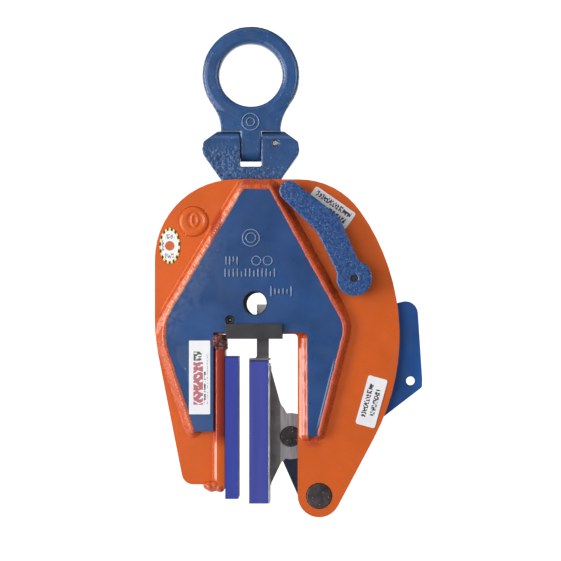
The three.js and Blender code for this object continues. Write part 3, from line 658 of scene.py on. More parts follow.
def cast_sparkle(f, tone):
    """Painted glints, and painted shade in the pits, on the left and low parts of the shackle's rough skin.
    """
    left = f.span(f.x_from(-11), -1, 1, 1, 0)
    low = f.span(f.z_from(-97), -1, 1, 1, 0)
    under = f.span(f.z_from(-76), -2, 1, 1, 0)
    rough = f.math("MAXIMUM", f.times(left, under), low)
    glint = f.span(f.noise(1.5, 2, seed=21), 0.54, 0.64, 0, 0.55)
    # Painted shade in the pits and painted glints.
    pit_painted_shade = f.span(f.noise(1.8, 2, seed=23), 0.36, 0.46, 0.6, 0)
    tone = f.mix(f.times(rough, pit_painted_shade), tone, (0.005, 0.02, 0.065))
    return f.mix(f.times(rough, glint), tone, (0.15, 0.24, 0.42))


def blue_cast():
    return paint("blue_cast", BLUE_EYE, dark=0.8, light=1.12, rough=0.32,
                 relief=((2.0, 0.14), (1.0, 0.08)), specks=(3.4, 0.5, 0.3, (0.11, 0.2, 0.39)),
                 touch=cast_sparkle)


def cover_marks(f, tone):
    """A pale cloudy band by the left slope, lighter patches on the left part, a painted highlight along the
    right leg's front edge, and painted shade in the holes.
    """
    slope = f.along(*LEFT_SLOPE)
    near = f.times(f.span(slope, -24, -3, 0, 1), f.span(f.z_from(-178), -30, 30, 1, 0))
    haze = f.times(near, f.span(f.noise(3.5, 4, seed=12), 0.42, 0.62, 0, 0.5))
    tone = f.mix(haze, tone, (0.13, 0.17, 0.27))
    patch = f.times(f.span(f.x_from(-10), -60, 0, 1, 0),
                   f.span(f.noise(26, 1, seed=14), 0.47, 0.5, 0, 0.5))
    tone = f.mix(patch, tone, (0.05, 0.095, 0.22))
    # Painted highlight along the right leg's front edge.
    leg = f.math("ABSOLUTE", f.along(RIGHT_LEG[0], (RIGHT_LEG[1][0] - 5.2, 0, RIGHT_LEG[1][2])))
    height = f.z_from(-335)
    run = f.times(f.span(leg, 0.35, 0.8, 0.7, 0), f.span(f.math("ABSOLUTE", height), 28, 38, 1, 0))
    tone = f.mix(run, tone, (0.30, 0.42, 0.62))
    return f.hole_painted_shade(tone)


def blue_plate():
    return paint("blue_plate", BLUE, dark=0.85, light=1.22, rough=0.33, relief=((14, 0.16),), blotch=30,
                 specks=(23, 0.8, 0.3, (0.25, 0.36, 0.55)), touch=cover_marks)


def cam_shade(f, tone):
    """Painted shade on the cam's lower half, and a dark ring of painted shade round the tab's hole."""
    painted_shade_rim = f.span(f.around(CAM_TAB_HOLE), 5.3, 5.9, 0.85, 0)
    tone = f.mix(painted_shade_rim, tone, (0.003, 0.012, 0.04))
    # Painted shade over the cam's lower part.
    low = f.span(f.z_from(-378), -22, 0, 0.85, 0)
    return f.mix(low, tone, (0.006, 0.010, 0.024))


def blue_cam():
    return paint("blue_cam", BLUE_TAB, dark=0.88, light=1.12, rough=0.36, relief=((12, 0.1),), blotch=30,
                 touch=cam_shade)


def blue_stamp(name, color):
    return paint(name, color, dark=0.85, light=1.2, rough=0.3, relief=((1.6, 0.03),), blotch=8)


def blue_lever():
    """Blue paint over a coarse cast skin that glitters."""
    f = Finish("blue_lever")
    grain = f.noise(1.5, 2)
    tone = f.mix(f.span(grain, 0.38, 0.58), (0.010, 0.040, 0.15), (0.028, 0.088, 0.26))
    tone = f.mix(f.dots(2.5, 0.5, 0.42), tone, (0.17, 0.28, 0.48))
    f.bump(grain, 0.32)
    return f.done(tone, 0.28, coat=0.4)


def urethane(name, low, high, top):
    """Cast polyurethane: satin blue, darker in a band just under its top (z in mm) and faint vertical flow.
    """
    f = Finish(name)
    flow = f.noise(9, 3, stretch=(0.5, 1, 7))
    tone = f.mix(f.span(flow, 0.3, 0.7), low, high)
    height = f.z_from(top)
    tone = f.mix(f.span(height, -2.2, -0.9, 0, 0.75), tone, (0.006, 0.01, 0.06))
    f.bump(f.noise(3.2, 3), 0.05)
    f.bump(f.noise(0.7, 2, seed=3), 0.02)
    return f.done(tone, f.span(flow, 0.3, 0.7, 0.4, 0.5), specular=0.4)


def dark_steel(name, color, light, rough, metallic, relief=((0.8, 0.04),), patch=8, glitter=0.0):
    """Worn dark steel with cloudy shade and, with glitter, that share of bright grains."""
    f = Finish(name)
    cloud = f.noise(patch, 4)
    tone = f.mix(f.span(cloud, 0.35, 0.7), color, light)
    if glitter:
        tone = f.mix(f.dots(1.9, 0.42, glitter), tone, (0.42, 0.41, 0.41))
    for i, (size, depth) in enumerate(relief):
        f.bump(f.noise(size, 3, seed=2 + i), depth)
    return f.done(tone, f.span(cloud, 0.3, 0.7, rough - 0.05, rough + 0.08), metallic=metallic)


def screw_steel():
    """Black cap screw with a worn rim and a bright glint in its socket."""
    f = Finish("screw_steel")
    away = f.around(SCREW_HOLE)
    cloud = f.noise(1.4, 2)
    tone = f.mix(f.span(cloud, 0.35, 0.65), (0.012, 0.012, 0.014), (0.04, 0.038, 0.04))
    worn = f.times(f.span(away, 2.9, 3.3), f.span(away, 3.8, 4.2, 1, 0))
    tone = f.mix(f.times(worn, 0.7), tone, (0.22, 0.23, 0.27))
    tone = f.mix(f.span(away, 0.8, 1.3, 1, 0), tone, (0.7, 0.7, 0.72))
    f.bump(cloud, 0.05)
    return f.done(tone, 0.4, metallic=0.2)


def bracket_steel():
    """Dark steel web, with the fork's arm machined bright past its edge, darker above z -294 mm, and
    painted light on the stem's top above z -256 mm.
    """
    f = Finish("bracket_steel")
    cloud = f.noise(7, 3)
    dark = f.mix(f.span(cloud, 0.3, 0.7), (0.135, 0.126, 0.128), (0.22, 0.205, 0.205))
    bars = f.noise(1.5, 3, stretch=(1, 1, 12), seed=2)
    bright = f.mix(f.span(bars, 0.3, 0.7), (0.3, 0.29, 0.32), (0.5, 0.49, 0.52))
    reach = f.x_from(31.3)
    front = f.along((0, -1, 0), (0, -11, 0))
    arm = f.times(f.span(reach, -0.4, 0.4), f.span(front, -0.4, 0.2))
    tone = f.mix(arm, dark, bright)
    height = f.z_from(-256)
    tone = f.mix(f.span(height, -42, -38), tone, (0.1, 0.096, 0.1))
    # Painted light on the stem's top, behind the sight hole.
    tone = f.mix(f.span(height, 0, 1), tone, (0.75, 0.75, 0.76))
    f.bump(f.noise(1.0, 3), 0.03)
    return f.done(tone, f.span(cloud, 0.3, 0.7, 0.42, 0.52), metallic=0.35)


def text_rows(f, u, v, rows, size=1.55, threshold=0.485):
    """Unreadable marks in rows (v from, v to, u from, u to), all in mm on the label.

    size is a stroke's width in mm, and a lower threshold makes the strokes denser.
    """
    combined = f.node("ShaderNodeCombineXYZ")
    f.put(combined.inputs[0], f.math("DIVIDE", u, size))
    f.put(combined.inputs[1], f.math("DIVIDE", v, size * 2.0))
    noise = f.node("ShaderNodeTexNoise")
    f.put(noise.inputs["Vector"], combined.outputs[0])
    noise.inputs["Scale"].default_value = 1.0
    noise.inputs["Detail"].default_value = 0.0
    strokes = f.math("GREATER_THAN", noise.outputs[0], threshold)
    total = None
    for v0, v1, u0, u1 in rows:
        inside = f.times(f.math("GREATER_THAN", v, v0), f.math("LESS_THAN", v, v1))
        across = f.times(f.math("GREATER_THAN", u, u0), f.math("LESS_THAN", u, u1))
        row = f.times(inside, across)
        total = row if total is None else f.math("MAXIMUM", total, row)
    return f.times(total, strokes)


def marked_label(name, centre, turn, rows):
    """White film with rows of generic marks, turned by degrees."""
    f = Finish(name)
    angle = math.radians(turn)
    middle = (centre[0], 0, centre[1])
    u = f.along((math.cos(angle), 0, math.sin(angle)), middle)
    v = f.along((-math.sin(angle), 0, math.cos(angle)), middle)
    white = f.mix(f.span(f.noise(10, 2), 0.3, 0.7), *WHITE_FILM)
    tone = f.mix(f.times(text_rows(f, u, v, rows), 0.97), white, INK)
    f.bump(f.noise(6, 2), 0.05)
    return f.done(tone, 0.35)


def rating_label():
    """White film with a red block of generic marks, a black one and fine lines."""
    f = Finish("rating_label")
    middle = (RATING_LABEL[0], 0, RATING_LABEL[1])
    u = f.along((0, 0, 1), middle)
    v = f.along((-1, 0, 0), middle)
    white = f.mix(f.span(f.noise(10, 2), 0.3, 0.7), (0.80, 0.80, 0.83), (0.88, 0.88, 0.90))
    red = text_rows(f, u, v, [(-3.6, 6.5, -28.5, 16)], size=2.6, threshold=0.41)
    black = text_rows(f, u, v, [(-2, 6.3, 17.5, 27), (-6.4, -4.6, -28, 6)], size=2.2, threshold=0.45)
    lines = text_rows(f, u, v, [(-8.6, -7.6, -28, 25)], size=1.2, threshold=0.46)
    tone = f.mix(f.times(red, 0.88), white, (0.45, 0.06, 0.09))
    tone = f.mix(f.times(black, 0.9), tone, (0.03, 0.03, 0.03))
    tone = f.mix(f.times(lines, 0.55), tone, (0.15, 0.13, 0.15))
    f.bump(f.noise(6, 2), 0.05)
    return f.done(tone, 0.33)


def inspection_film():
    """White oval film: a black and yellow dashed rim, an orange disc and a few generic marks."""
    f = Finish("inspection_film")
    x, z = f.x_from(STICKER[0]), f.z_from(STICKER[1])
    across, up = f.math("DIVIDE", x, 10.8), f.math("DIVIDE", z, 19)
    reach = f.length(across, up)
    angle = f.math("ARCTAN2", up, across)
    dashes = f.math("GREATER_THAN", f.math("SINE", f.times(angle, 15)), 0.0)
    rim = f.math("GREATER_THAN", reach, 0.84)
    rim_tone = f.mix(dashes, (0.85, 0.75, 0.25), (0.03, 0.03, 0.03))
    tone = f.mix(rim, (0.85, 0.85, 0.86), rim_tone)
    marks = text_rows(f, x, z, [(7, 12, -4, 5), (-13, -8, -5, 4), (-5, 6, -8.3, -6)], size=1.6)
    tone = f.mix(f.times(marks, 0.75), tone, (0.10, 0.10, 0.12))
    tone = f.mix(f.math("LESS_THAN", f.length(x, z), 5.0), tone, (0.60, 0.12, 0.03))
    f.bump(f.noise(6, 2), 0.05)
    return f.done(tone, 0.35)


FINISHES = {
    "blue_forging": blue_forging(),
    "blue_cast": blue_cast(),
    "blue_plate": blue_plate(),
    "blue_cam": blue_cam(),
    "blue_lever": blue_lever(),
    # Painted highlight and painted shade copies of the stamp paint.
    "stamp_painted_highlight": blue_stamp("stamp_painted_highlight", (0.16, 0.25, 0.41)),
    "stamp_painted_shade": blue_stamp("stamp_painted_shade", (0.003, 0.014, 0.055)),
    "orange_body": orange_body(),
    "orange_weld": orange_weld(),
    "urethane_fixed": urethane("urethane_fixed", (0.019, 0.034, 0.28), (0.027, 0.046, 0.32),
                               FIXED_PAD_TOP),
    "urethane_moving": urethane("urethane_moving", (0.034, 0.048, 0.29), (0.044, 0.06, 0.33),
                                MOVING_PAD_TOP),
    "weld_painted_shade": weld_painted_shade(),
    "jaw_orange": jaw_orange(),
    "grey_steel": dark_steel("grey_steel", (0.025, 0.024, 0.029), (0.036, 0.034, 0.039), 0.45, 0.1),
    "black_steel": dark_steel("black_steel", (0.014, 0.012, 0.014), (0.062, 0.05, 0.05), 0.48, 0.3,
                              relief=((1.6, 0.3), (0.7, 0.1)), patch=3, glitter=0.32),
    "axle_steel": dark_steel("axle_steel", (0.02, 0.016, 0.019), (0.07, 0.054, 0.058), 0.42, 0.35,
                             relief=((2.2, 0.1), (0.8, 0.04)), patch=4, glitter=0.1),
    "bright_steel": dark_steel("bright_steel", (0.34, 0.34, 0.36), (0.5, 0.5, 0.52), 0.34, 0.8,
                               relief=((1.0, 0.02),), patch=6),
    "spring_steel": dark_steel("spring_steel", (0.16, 0.16, 0.17), (0.3, 0.3, 0.31), 0.35, 0.85),
    "bracket_steel": bracket_steel(),
    "screw_steel": screw_steel(),
    "plug_steel": dark_steel("plug_steel", (0.003, 0.003, 0.004), (0.01, 0.01, 0.012), 0.6, 0.0),
    "label_closed": marked_label("label_closed_film", CLOSED_LABEL, -35,
                                 [(1.8, 7.6, -21.5, 22), (-6.4, -0.8, -2, 20.5)]),
    "label_open": marked_label("label_open_film", OPEN_LABEL, 74.5,
                               [(2.2, 7.4, -18, 18), (-6.4, -1.2, -14, 14)]),
    "rating_label": rating_label(),
    "inspection_sticker": inspection_film(),
}


def finish_piece(obj, finish, *nodes, body=None, slot=None):
    """Gives a piece its material and body, and lets it stand for CAD nodes; slot is not used."""
    obj.data.materials.clear()
    obj.data.materials.append(FINISHES[finish])
    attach(obj, body or BODY_OF[nodes[0]])
    if nodes:
        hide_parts(*nodes)
    return obj


# ---------------------------------------------------------------- forged and cast pieces


TONGUE_HALF = 11  # half of the tongue's width in CAD
TONGUE_SIDE = 10.8  # and where its sides lie in this copy, clear of the shackle's slot
TONGUE_DEPTH = 8.3  # from the middle plane
NECK_TOP = -38
TONGUE_LOW = -86  # below this height smoothing has shortened the tongue


def square_up_eye(points):
    """Gives the neck and tongue back the flat faces that smoothing has rounded."""
    shoulder = (np.abs(points[:, 0]) > TONGUE_HALF) & (points[:, 2] < NECK_SHOULDER + 1.4)
    points[shoulder, 2] = NECK_SHOULDER + 0.12 * (points[shoulder, 2] - NECK_SHOULDER)
    depth = np.abs(points[:, 1])
    neck = (depth > TONGUE_DEPTH) & (points[:, 2] < NECK_TOP) & (points[:, 2] > NECK_SHOULDER - 0.3)
    stretched = TONGUE_DEPTH + (depth[neck] - TONGUE_DEPTH) * 2.35
    flush = np.minimum(stretched, np.maximum(depth[neck], EYE_FACE - 0.05))
    points[neck, 1] = np.sign(points[neck, 1]) * flush
    across = np.abs(points[:, 0])
    sides = (across > 9.2) & (across < TONGUE_HALF) & (points[:, 2] < NECK_SHOULDER - 0.6)
    points[sides, 0] = np.sign(points[sides, 0]) * TONGUE_SIDE
    low = points[:, 2] < TONGUE_LOW
    points[low, 2] += 0.16 * (points[low, 2] - TONGUE_LOW)
    return points


def make_eye():
    eye = cast_copy("forged_eye", "lifting_eye", 1.0, 4)
    push(eye, lambda p: 0.10 * smooth_noise(p, 9, 1) + 0.05 * smooth_noise(p, 2.4, 2))
    write_points(eye, square_up_eye(read_points(eye)))
    finish_piece(eye, "blue_forging", "lifting_eye")


def make_shackle():
    shackle = cast_copy("cast_shackle", "shackle_plate", 0.85, 3)

    def pits(p):
        left = 1 / (1 + np.exp((p[:, 0] + 11) / 1.5)) * (p[:, 2] < -76)
        low = 1 / (1 + np.exp((p[:, 2] + 97) / 1.5)) * (p[:, 0] < 16)
        coarse = np.maximum(left, low)
        crest = 0.14 * (p[:, 2] > -61)
        return crest + (0.05 + 0.2 * coarse) * smooth_noise(p, 1.6, 5) + 0.08 * smooth_noise(p, 7, 6)

    push(shackle, pits)
    finish_piece(shackle, "blue_cast", "shackle_plate")


def make_lever():
    lever = cast_copy("cast_lever", "lock_lever", 0.8, 5)
    push(lever, lambda p: 0.12 * smooth_noise(p, 1.6, 3) + 0.06 * smooth_noise(p, 4, 4))
    finish_piece(lever, "blue_lever", "lock_lever")


# ---------------------------------------------------------------- welds

# Lines that the beads follow, as (x, z, radius), and their sections, as bead takes them.
OUTER_LINE = [(-53, -374.3), (-61.4, -374.3, 4), (-97.3, -266, 60), (-8.6, -117.6, 5), (21.6, -117.6, 5),
              (101.7, -263.6, 28), (72.6, -379.6, 4), (65, -379.6)]
OUTER_SECTION = [(-3.6, 29.8), (-2.6, 30.5), (-1.2, 30.8), (0.2, 30.4), (1.5, 29.3), (2.8, 27.6),
                 (4.2, 25.7), (5.6, 24.0), (6.8, 22.9), (7.6, 22.0)]
THROAT_LINE = [(59.9, -384.5), (59.9, -381, 3), (59.3, -276), (59.3, -271)]
THROAT_SECTION = [(-1.2, 29.9), (0.2, 30.0), (1.6, 29.0), (3.2, 27.6), (5.0, 26.7), (6.6, 25.6),
                  (8.0, 23.9), (9.0, 22.2), (9.6, 21.4)]
JAW_LINE = [(-35.2, -430), (-35.2, -282)]
JAW_SECTION = [(-1.8, 29.3), (-0.4, 29.6), (1.0, 28.6), (2.2, 26.8), (3.2, 24.6), (4.2, 22.8), (5.0, 22.0)]


def slim(at):
    """The bead is narrower down the right-hand leg of the reinforcement."""
    x, z = at
    if x < 30:
        return 1.0
    return float(np.interp(-z, [240, 275], [1.0, 0.68]))


def make_welds():
    runs = [
        ("weld_outer", OUTER_LINE, OUTER_SECTION,
         dict(pitch=3.1, ripple=0.16, rough=0.16, wander=0.5, slim=slim, fade=7)),
        ("weld_throat", THROAT_LINE, THROAT_SECTION,
         dict(pitch=17, ripple=0.35, rough=0.12, wander=1.3, fade=6)),
        ("weld_jaw", JAW_LINE, JAW_SECTION, dict(pitch=9.0, ripple=0.15, rough=0.12, wander=0.4)),
    ]
    for name, line, section, look in runs:
        for side, word in ((-1, "front"), (1, "rear")):
            obj = bead(f"{name}_{word}_bead", line, section, side=side, seed=3 + side, **look)
            finish_piece(obj, "orange_weld", f"{name}_{word}")


def make_lumps():
    """Weld metal left at the ends of the fixed jaw's plate."""
    for side, word in ((-1, "front"), (1, "rear")):
        top = [(-37.2 + 3 * (i % 4), side * (27.6 + 0.6 * (i % 3)), -276 - 3.6 * (i // 3), 3.4)
               for i in range(12)]
        foot = [(-45 + 2.6 * i, side * (25.6 + 0.5 * (i % 2)), -430.6 - 1.3 * (i % 3), 4.5 + 0.5 * (i % 2))
                for i in range(7)]
        upper = lump(f"weld_lump_upper_{word}", top, seed=4)
        lower = lump(f"weld_lump_lower_{word}", foot, seed=6, rough=0.5)
        # The upper lumps sit under the guard and take painted shade.
        finish_piece(upper, "weld_painted_shade", body="body", slot="orange_body")
        finish_piece(lower, "orange_weld", body="body", slot="orange_body")


# ---------------------------------------------------------------- boss, pins and spring


BOSS_SIDES = 64


def boss_level(dx, dz, radius):
    """Level of the boss's end: a domed rim, a shallow inner disc and an oval ridge in it."""
    rim = 24.4 - 2.6 * max(0.0, (radius - 11.5) / 4.3) ** 2
    inner = math.hypot(dx - 2.0, dz - 1.4)
    rim -= 1.3 / (1 + math.exp((inner - 8.8) / 0.4))
    oval = math.hypot((dx - 1.4) / 3.2, (dz - 1.6) / 5.8)
    rim += 1.3 * math.exp(-(((oval - 1) / 0.3) ** 2))
    return rim


def make_boss():
    """The spacer between the side plates, with a domed end on each."""
    rings = np.concatenate([np.linspace(0.7, 15.2, 30), [BOSS_R]])
    points, faces = round_face(BOSS, rings, boss_level, BOSS_SIDES)
    count = len(points)
    rear = [(x, -y, z) for x, y, z in points]
    faces += [tuple(count + i for i in reversed(face)) for face in faces]
    for k in range(BOSS_SIDES):
        a, b = count - BOSS_SIDES + k, count - BOSS_SIDES + (k + 1) % BOSS_SIDES
        faces.append((a, b, b + count, a + count))
    obj = new_object("spacer_boss_domed", points + rear, faces)
    face_out(obj)
    obj.data.shade_smooth()
    finish_piece(obj, "orange_body", "spacer_boss")


SPRING_WIRE_R = 1.0
SPRING_COIL_R = 4.4
SPRING_HOOK_R = 4.3
SPRING_TURNS = 24
SPRING_HOOK_REACH = 14.0  # from a pin's centre to the first turn of the coil


def spring_points():
    """Centre line of the coil spring, hooked round the crank pin and round the pin on the cam."""
    top = np.array([CRANK_PIN[0], 0, CRANK_PIN[1]], float)
    foot = np.array([SPRING_FOOT[0], 0, SPRING_FOOT[1]], float)
    way = foot - top
    length = np.linalg.norm(way)
    way /= length
    side = np.cross(way, [0, 1, 0])
    depth = np.array([0.0, 1.0, 0.0])

    def hooked(pin, first, last):
        angles = np.radians(np.linspace(first, last, 15))
        return [pin + SPRING_HOOK_R * (side * math.sin(a) - way * math.cos(a)) for a in angles]

    coil = []
    for t in np.linspace(0, 1, SPRING_TURNS * 12):
        a = 2 * math.pi * SPRING_TURNS * t + math.pi / 2
        along = SPRING_HOOK_REACH + (length - 2 * SPRING_HOOK_REACH) * t
        coil.append(top + way * along + SPRING_COIL_R * (side * math.sin(a) + depth * math.cos(a)))
    return hooked(top, -120, 90) + coil + hooked(foot, 90, 300)


def make_spring():
    spring = wire("coil_spring", spring_points(), SPRING_WIRE_R)
    finish_piece(spring, "spring_steel", "tension_spring")


# ---------------------------------------------------------------- plain steel and plate pieces

BEVELS = [
    # name, node, bevel in mm, finish
    ("side_plate_front_skin", "side_plate_front", 1.3, "orange_body"),
    ("side_plate_rear_skin", "side_plate_rear", 1.3, "orange_body"),
    ("reinforcement_front_skin", "reinforcement_front", 1.6, "blue_plate"),
    ("reinforcement_rear_skin", "reinforcement_rear", 1.6, "blue_plate"),
    ("centre_block_skin", "centre_block", 1.0, "orange_body"),
    ("jaw_plate_skin", "jaw_plate", 1.2, "jaw_orange"),
    ("cam_plate_skin", "cam_plate", 0.9, "blue_cam"),
    ("link_front_bar", "link_front", 0.5, "bright_steel"),
    ("link_rear_bar", "link_rear", 0.5, "bright_steel"),
    ("fixed_pad_block", "fixed_pad", 0.4, "urethane_fixed"),
    ("moving_pad_block", "moving_pad", 0.4, "urethane_moving"),
    ("throat_guard_saddle", "throat_guard", 0.7, "grey_steel"),
    ("jaw_bracket_fork", "jaw_bracket", 0.6, "bracket_steel"),
    ("pad_backing_strip", "pad_backing_plate", 0.3, "bright_steel"),
    ("jaw_pin_head", "jaw_pin", 0.5, "black_steel"),
    ("cam_axle_head", "cam_axle", 0.4, "axle_steel"),
    ("axle_snap_ring", "axle_ring", 0.25, "black_steel"),
    ("jaw_pin_snap_ring", "jaw_pin_ring", 0.25, "black_steel"),
    ("guard_cap_screw", "guard_screw", 0.4, "screw_steel"),
    ("guard_hex_nut", "guard_nut", 0.2, "black_steel"),
    ("lever_plug", "lever_end_plug", 0.4, "plug_steel"),
    ("lever_shaft_pin", "lever_shaft", 0.4, "bright_steel"),
    ("lever_crank_arm", "lever_crank", 0.5, "grey_steel"),
    ("shaft_collar_ring", "shaft_collar", 0.5, "grey_steel"),
    ("crank_dowel", "crank_pin", 0.25, "bright_steel"),
    ("spring_foot_dowel", "spring_foot_pin", 0.25, "bright_steel"),
    ("cross_pin", "eye_cross_pin", 0.4, "bright_steel"),
    ("cross_pin_lock_dowel", "cross_pin_lock", 0.3, "bright_steel"),
    ("link_pin_upper_dowel", "link_pin_upper", 0.4, "bright_steel"),
    ("link_pin_lower_dowel", "link_pin_lower", 0.4, "bright_steel"),
    ("cam_bushing_sleeve", "cam_bushing", 0.3, "bright_steel"),
    ("fixed_pad_screw_upper_cap", "fixed_pad_screw_upper", 0.4, "grey_steel"),
    ("fixed_pad_screw_lower_cap", "fixed_pad_screw_lower", 0.4, "grey_steel"),
    ("moving_pad_screw_upper_cap", "moving_pad_screw_upper", 0.4, "grey_steel"),
    ("moving_pad_screw_lower_cap", "moving_pad_screw_lower", 0.4, "grey_steel"),
    ("label_closed_film", "label_closed", 0.1, "label_closed"),
    ("label_open_film", "label_open", 0.1, "label_open"),
    ("rating_label_film", "rating_label", 0.1, "rating_label"),
    ("inspection_sticker_film", "inspection_sticker", 0.1, "inspection_sticker"),
]


def make_bevelled():
    for name, node, width, finish in BEVELS:
        finish_piece(bevelled(name, node, width), finish, node)


# ---------------------------------------------------------------- stamped marks


STAMP_WIDTH = 1.3  # of a bar
STAMP_RAISE = 0.5
STAMP_SINK = 0.3
STAMP_WIRE_R = 0.55  # of a ring


def stamp_bar(x, z, height, level):
    """A low raised bar with rounded ends, as points and faces in mm."""
    width = STAMP_WIDTH
    outline = []
    for angle in range(0, 360, 30):
        a = math.radians(angle)
        dx = width / 2 * math.cos(a)
        dz = (height - width) / 2 * (1 if math.sin(a) >= 0 else -1) + width / 2 * math.sin(a)
        outline.append((dx, dz))
    count = len(outline)
    points = [(x + dx * 1.15, -(level - STAMP_SINK), z + dz) for dx, dz in outline]
    points += [(x + dx, -(level + STAMP_RAISE * 0.7), z + dz * 0.97) for dx, dz in outline]
    points += [(x + dx * 0.4, -(level + STAMP_RAISE), z + dz * 0.9) for dx, dz in outline]
    faces = []
    for start in (0, count):
        for k in range(count):
            a, b = start + k, start + (k + 1) % count
            faces.append((a, b, b + count, a + count))
    faces.append(tuple(2 * count + k for k in range(count)))
    return points, faces


def stamp_ring(x, z, radius, level):
    """A low raised ring on a face at a distance of level mm from the middle plane."""
    angles = np.linspace(0, 2 * math.pi, 48, endpoint=False)
    points = [(x + radius * math.cos(a), -level, z + radius * math.sin(a)) for a in angles]
    return wire("ring", points, STAMP_WIRE_R, closed=True)


def stamp_set(name, shift, rise):
    """Every bar and ring stamped on the reinforcement, moved sideways by shift mm and raised by rise mm."""
    bars = []
    spacing = 4.3
    for i, tall in enumerate((9, 9, 6, 9)):
        bars.append((-25 + spacing * 0.9 * i, -196 + (9 - tall) / 2, tall))
    for i, tall in enumerate((9, 8, 9, 9, 6, 9, 9, 7, 9, 9, 9, 6, 9)):
        bars.append((-26 + spacing * i, -208.5 - (9 - tall) / 2, tall))
    for i, tall in enumerate((11, 7, 5, 7, 5, 11)):
        bars.append((22 + 4.2 * i, -228, tall))
    points, faces = [], []
    for x, z, height in bars:
        more, rows = stamp_bar(x + shift, z - shift / 2, height, COVER_FACE + rise)
        faces += [tuple(len(points) + i for i in row) for row in rows]
        points += more
    marks = new_object("bars", points, faces)
    face_out(marks)
    circles = [(0.8, -172.1, 8.8), (0.8, -172.1, 5.0), (6.5, -196, 4.6), (18.5, -196, 4.6)]
    level = COVER_FACE + rise - 0.05
    rings = [stamp_ring(x + shift, z - shift / 2, radius, level) for x, z, radius in circles]
    stamp = joined(name, marks, *rings)
    stamp.data.shade_smooth()
    return stamp


# Each mark is made twice, as a painted highlight and as painted shade: word, mm to the right, mm higher,
# finish.
STAMP_PASSES = [("lit", -0.3, 0.0, "stamp_painted_highlight"), ("shaded", 0.65, -0.22, "stamp_painted_shade")]


def make_stamps():
    """Generic stamped marks on the reinforcement and the eye, made as a painted highlight copy on one side
    and a painted shade copy on the other.
    """
    for word, shift, rise, finish in STAMP_PASSES:
        stamp = stamp_set(f"stamped_marks_plate_{word}", shift, rise)
        finish_piece(stamp, finish, body="body", slot="blue_plate")
        x, z = EYE_STAMP[0] + shift, EYE_STAMP[1] - shift / 2
        rings = [stamp_ring(x, z, radius, EYE_FACE + rise) for radius in (8.8, 4.2)]
        eye = joined(f"stamped_marks_eye_{word}", *rings)
        eye.data.shade_smooth()
        finish_piece(eye, finish, body="eye", slot="blue_forging")


def make_hole_painted_shadow():
    """A black crescent sheet of painted shade inside the left of the sight hole, just behind the front
    plate's outer skin.
    """
    count = 40
    front, back = -20.5, -17.5
    x, z = SIGHT_HOLE
    angles = np.linspace(math.radians(62), math.radians(262), count)
    outer = [(x + 12.6 * math.cos(a), z + 12.6 * math.sin(a)) for a in angles]
    depth = np.sin(np.linspace(0, math.pi, count)) ** 0.7 * 3.6
    inner = [(x + (12.3 - d) * math.cos(a), z + (12.3 - d) * math.sin(a)) for a, d in zip(angles, depth)]
    loop = outer + inner[::-1]
    points = [(px, y, pz) for y in (front, back) for px, pz in loop]
    total = len(loop)
    faces = [(k, (k + 1) % total, total + (k + 1) % total, total + k) for k in range(total)]
    for base in (0, total):
        for k in range(count - 1):
            faces.append((base + k, base + k + 1, base + total - 2 - k, base + total - 1 - k))
    painted_shade_rim = new_object("sight_hole_painted_shadow", points, faces)
    face_out(painted_shade_rim)
    finish_piece(shade(painted_shade_rim, 40), "black_steel", body="body", slot="black_steel")


# ---------------------------------------------------------------- studio


def plain(name, color, glow):
    """A matt pale material that glows a little."""
    f = Finish(name)
    tone = f.mix(f.noise(400, 2), color, toned(color, 1.02))
    f.put(f.shader.inputs["Emission Color"], (1, 1, 1))
    f.shader.inputs["Emission Strength"].default_value = glow
    return f.done(tone, 0.9, specular=0.0)


def make_stage():
    """A pale floor that sweeps up into a backdrop."""
    half, depth_front, depth_back, low, high, radius = 6.0, -0.6, 7.0, -0.95, 4.0, 0.9
    profile = [(depth_front, low), (depth_back - radius, low)]
    for angle in range(-80, 1, 10):
        a = math.radians(angle)
        profile.append((depth_back - radius + radius * math.cos(a), low + radius + radius * math.sin(a)))
    profile.append((depth_back, high))
    points = [(x * 1000, y * 1000, z * 1000) for y, z in profile for x in (-half, half)]
    faces = [(2 * i, 2 * i + 1, 2 * i + 3, 2 * i + 2) for i in range(len(profile) - 1)]
    sweep = new_object("studio_sweep", points, faces)
    sweep.data.shade_smooth()
    sweep.data.materials.append(plain("studio_white", (0.9, 0.9, 0.9), 1.0))
    sweep.visible_diffuse = False


def softbox(name, place, aim, width, height, power):
    """A white area light at a place in metres, turned to its aim, of that power in watts."""
    light = bpy.data.lights.new(name, "AREA")
    light.shape = "RECTANGLE"
    light.size, light.size_y = width, height
    light.energy = power
    obj = bpy.data.objects.new(name, light)
    bpy.context.scene.collection.objects.link(obj)
    obj.location = place
    obj.rotation_euler = (Vector(aim) - Vector(place)).to_track_quat("-Z", "Y").to_euler()


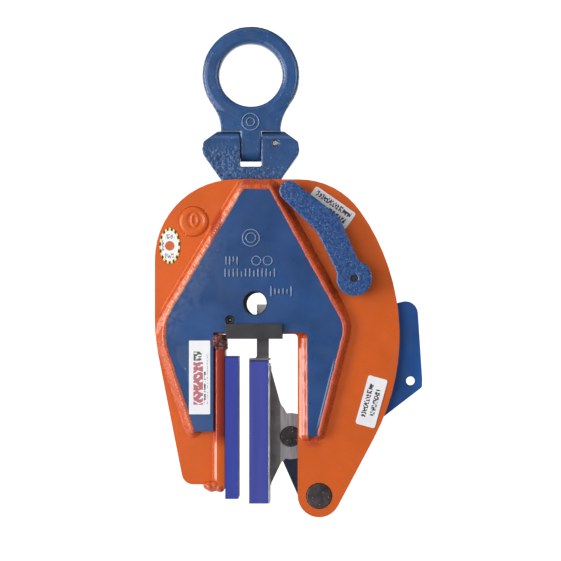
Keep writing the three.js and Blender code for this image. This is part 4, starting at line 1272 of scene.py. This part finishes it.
def make_lights():
    aim = (0.03, 0, -0.22)
    softbox("key", (-2.1, -1.25, -0.15), aim, 0.8, 1.7, 54)
    softbox("sheen", (-0.95, -2.0, -0.25), aim, 1.1, 1.6, 16)
    softbox("fill", (1.6, -1.7, 0.1), aim, 1.0, 1.4, 15)
    softbox("top", (-0.2, -0.7, 1.4), aim, 1.4, 0.8, 5)
    softbox("rear", (1.7, 2.0, 0.6), aim, 1.4, 1.6, 26)
    softbox("rear_left", (-1.9, 1.6, 0.0), aim, 1.0, 1.6, 22)


def make_world():
    """White where the camera sees it, and a faint cool light on the clamp."""
    world = bpy.data.worlds.new("studio")
    bpy.context.scene.world = world
    world.use_nodes = True
    tree = world.node_tree
    tree.nodes.clear()
    out = tree.nodes.new("ShaderNodeOutputWorld")
    path = tree.nodes.new("ShaderNodeLightPath")
    mix = tree.nodes.new("ShaderNodeMixShader")
    seen = tree.nodes.new("ShaderNodeBackground")
    felt = tree.nodes.new("ShaderNodeBackground")
    seen.inputs["Color"].default_value = (1, 1, 1, 1)
    seen.inputs["Strength"].default_value = 1.05
    felt.inputs["Color"].default_value = (0.96, 0.98, 1, 1)
    felt.inputs["Strength"].default_value = 0.14
    tree.links.new(path.outputs["Is Camera Ray"], mix.inputs[0])
    tree.links.new(felt.outputs[0], mix.inputs[1])
    tree.links.new(seen.outputs[0], mix.inputs[2])
    tree.links.new(mix.outputs[0], out.inputs["Surface"])


def make_camera():
    """The photograph's view: level with the clamp's middle and a little to its right, from afar."""
    data = bpy.data.cameras.new("camera")
    data.sensor_width = 36
    data.lens = 206
    data.clip_end = 50
    camera = bpy.data.objects.new("camera", data)
    bpy.context.scene.collection.objects.link(camera)
    camera.location = (0.07, -3.383, -0.27)
    aim = Vector((0.0314, -0.02, -0.2165))
    camera.rotation_mode = "QUATERNION"
    camera.rotation_quaternion = (aim - camera.location).to_track_quat("-Z", "Y")
    bpy.context.scene.camera = camera


make_eye()
make_shackle()
make_lever()
make_bevelled()
make_welds()
make_lumps()
make_boss()
make_spring()
make_stamps()
make_hole_painted_shadow()
make_stage()
make_lights()
make_world()
make_camera()

scene = bpy.context.scene
scene.view_settings.view_transform = "Standard"
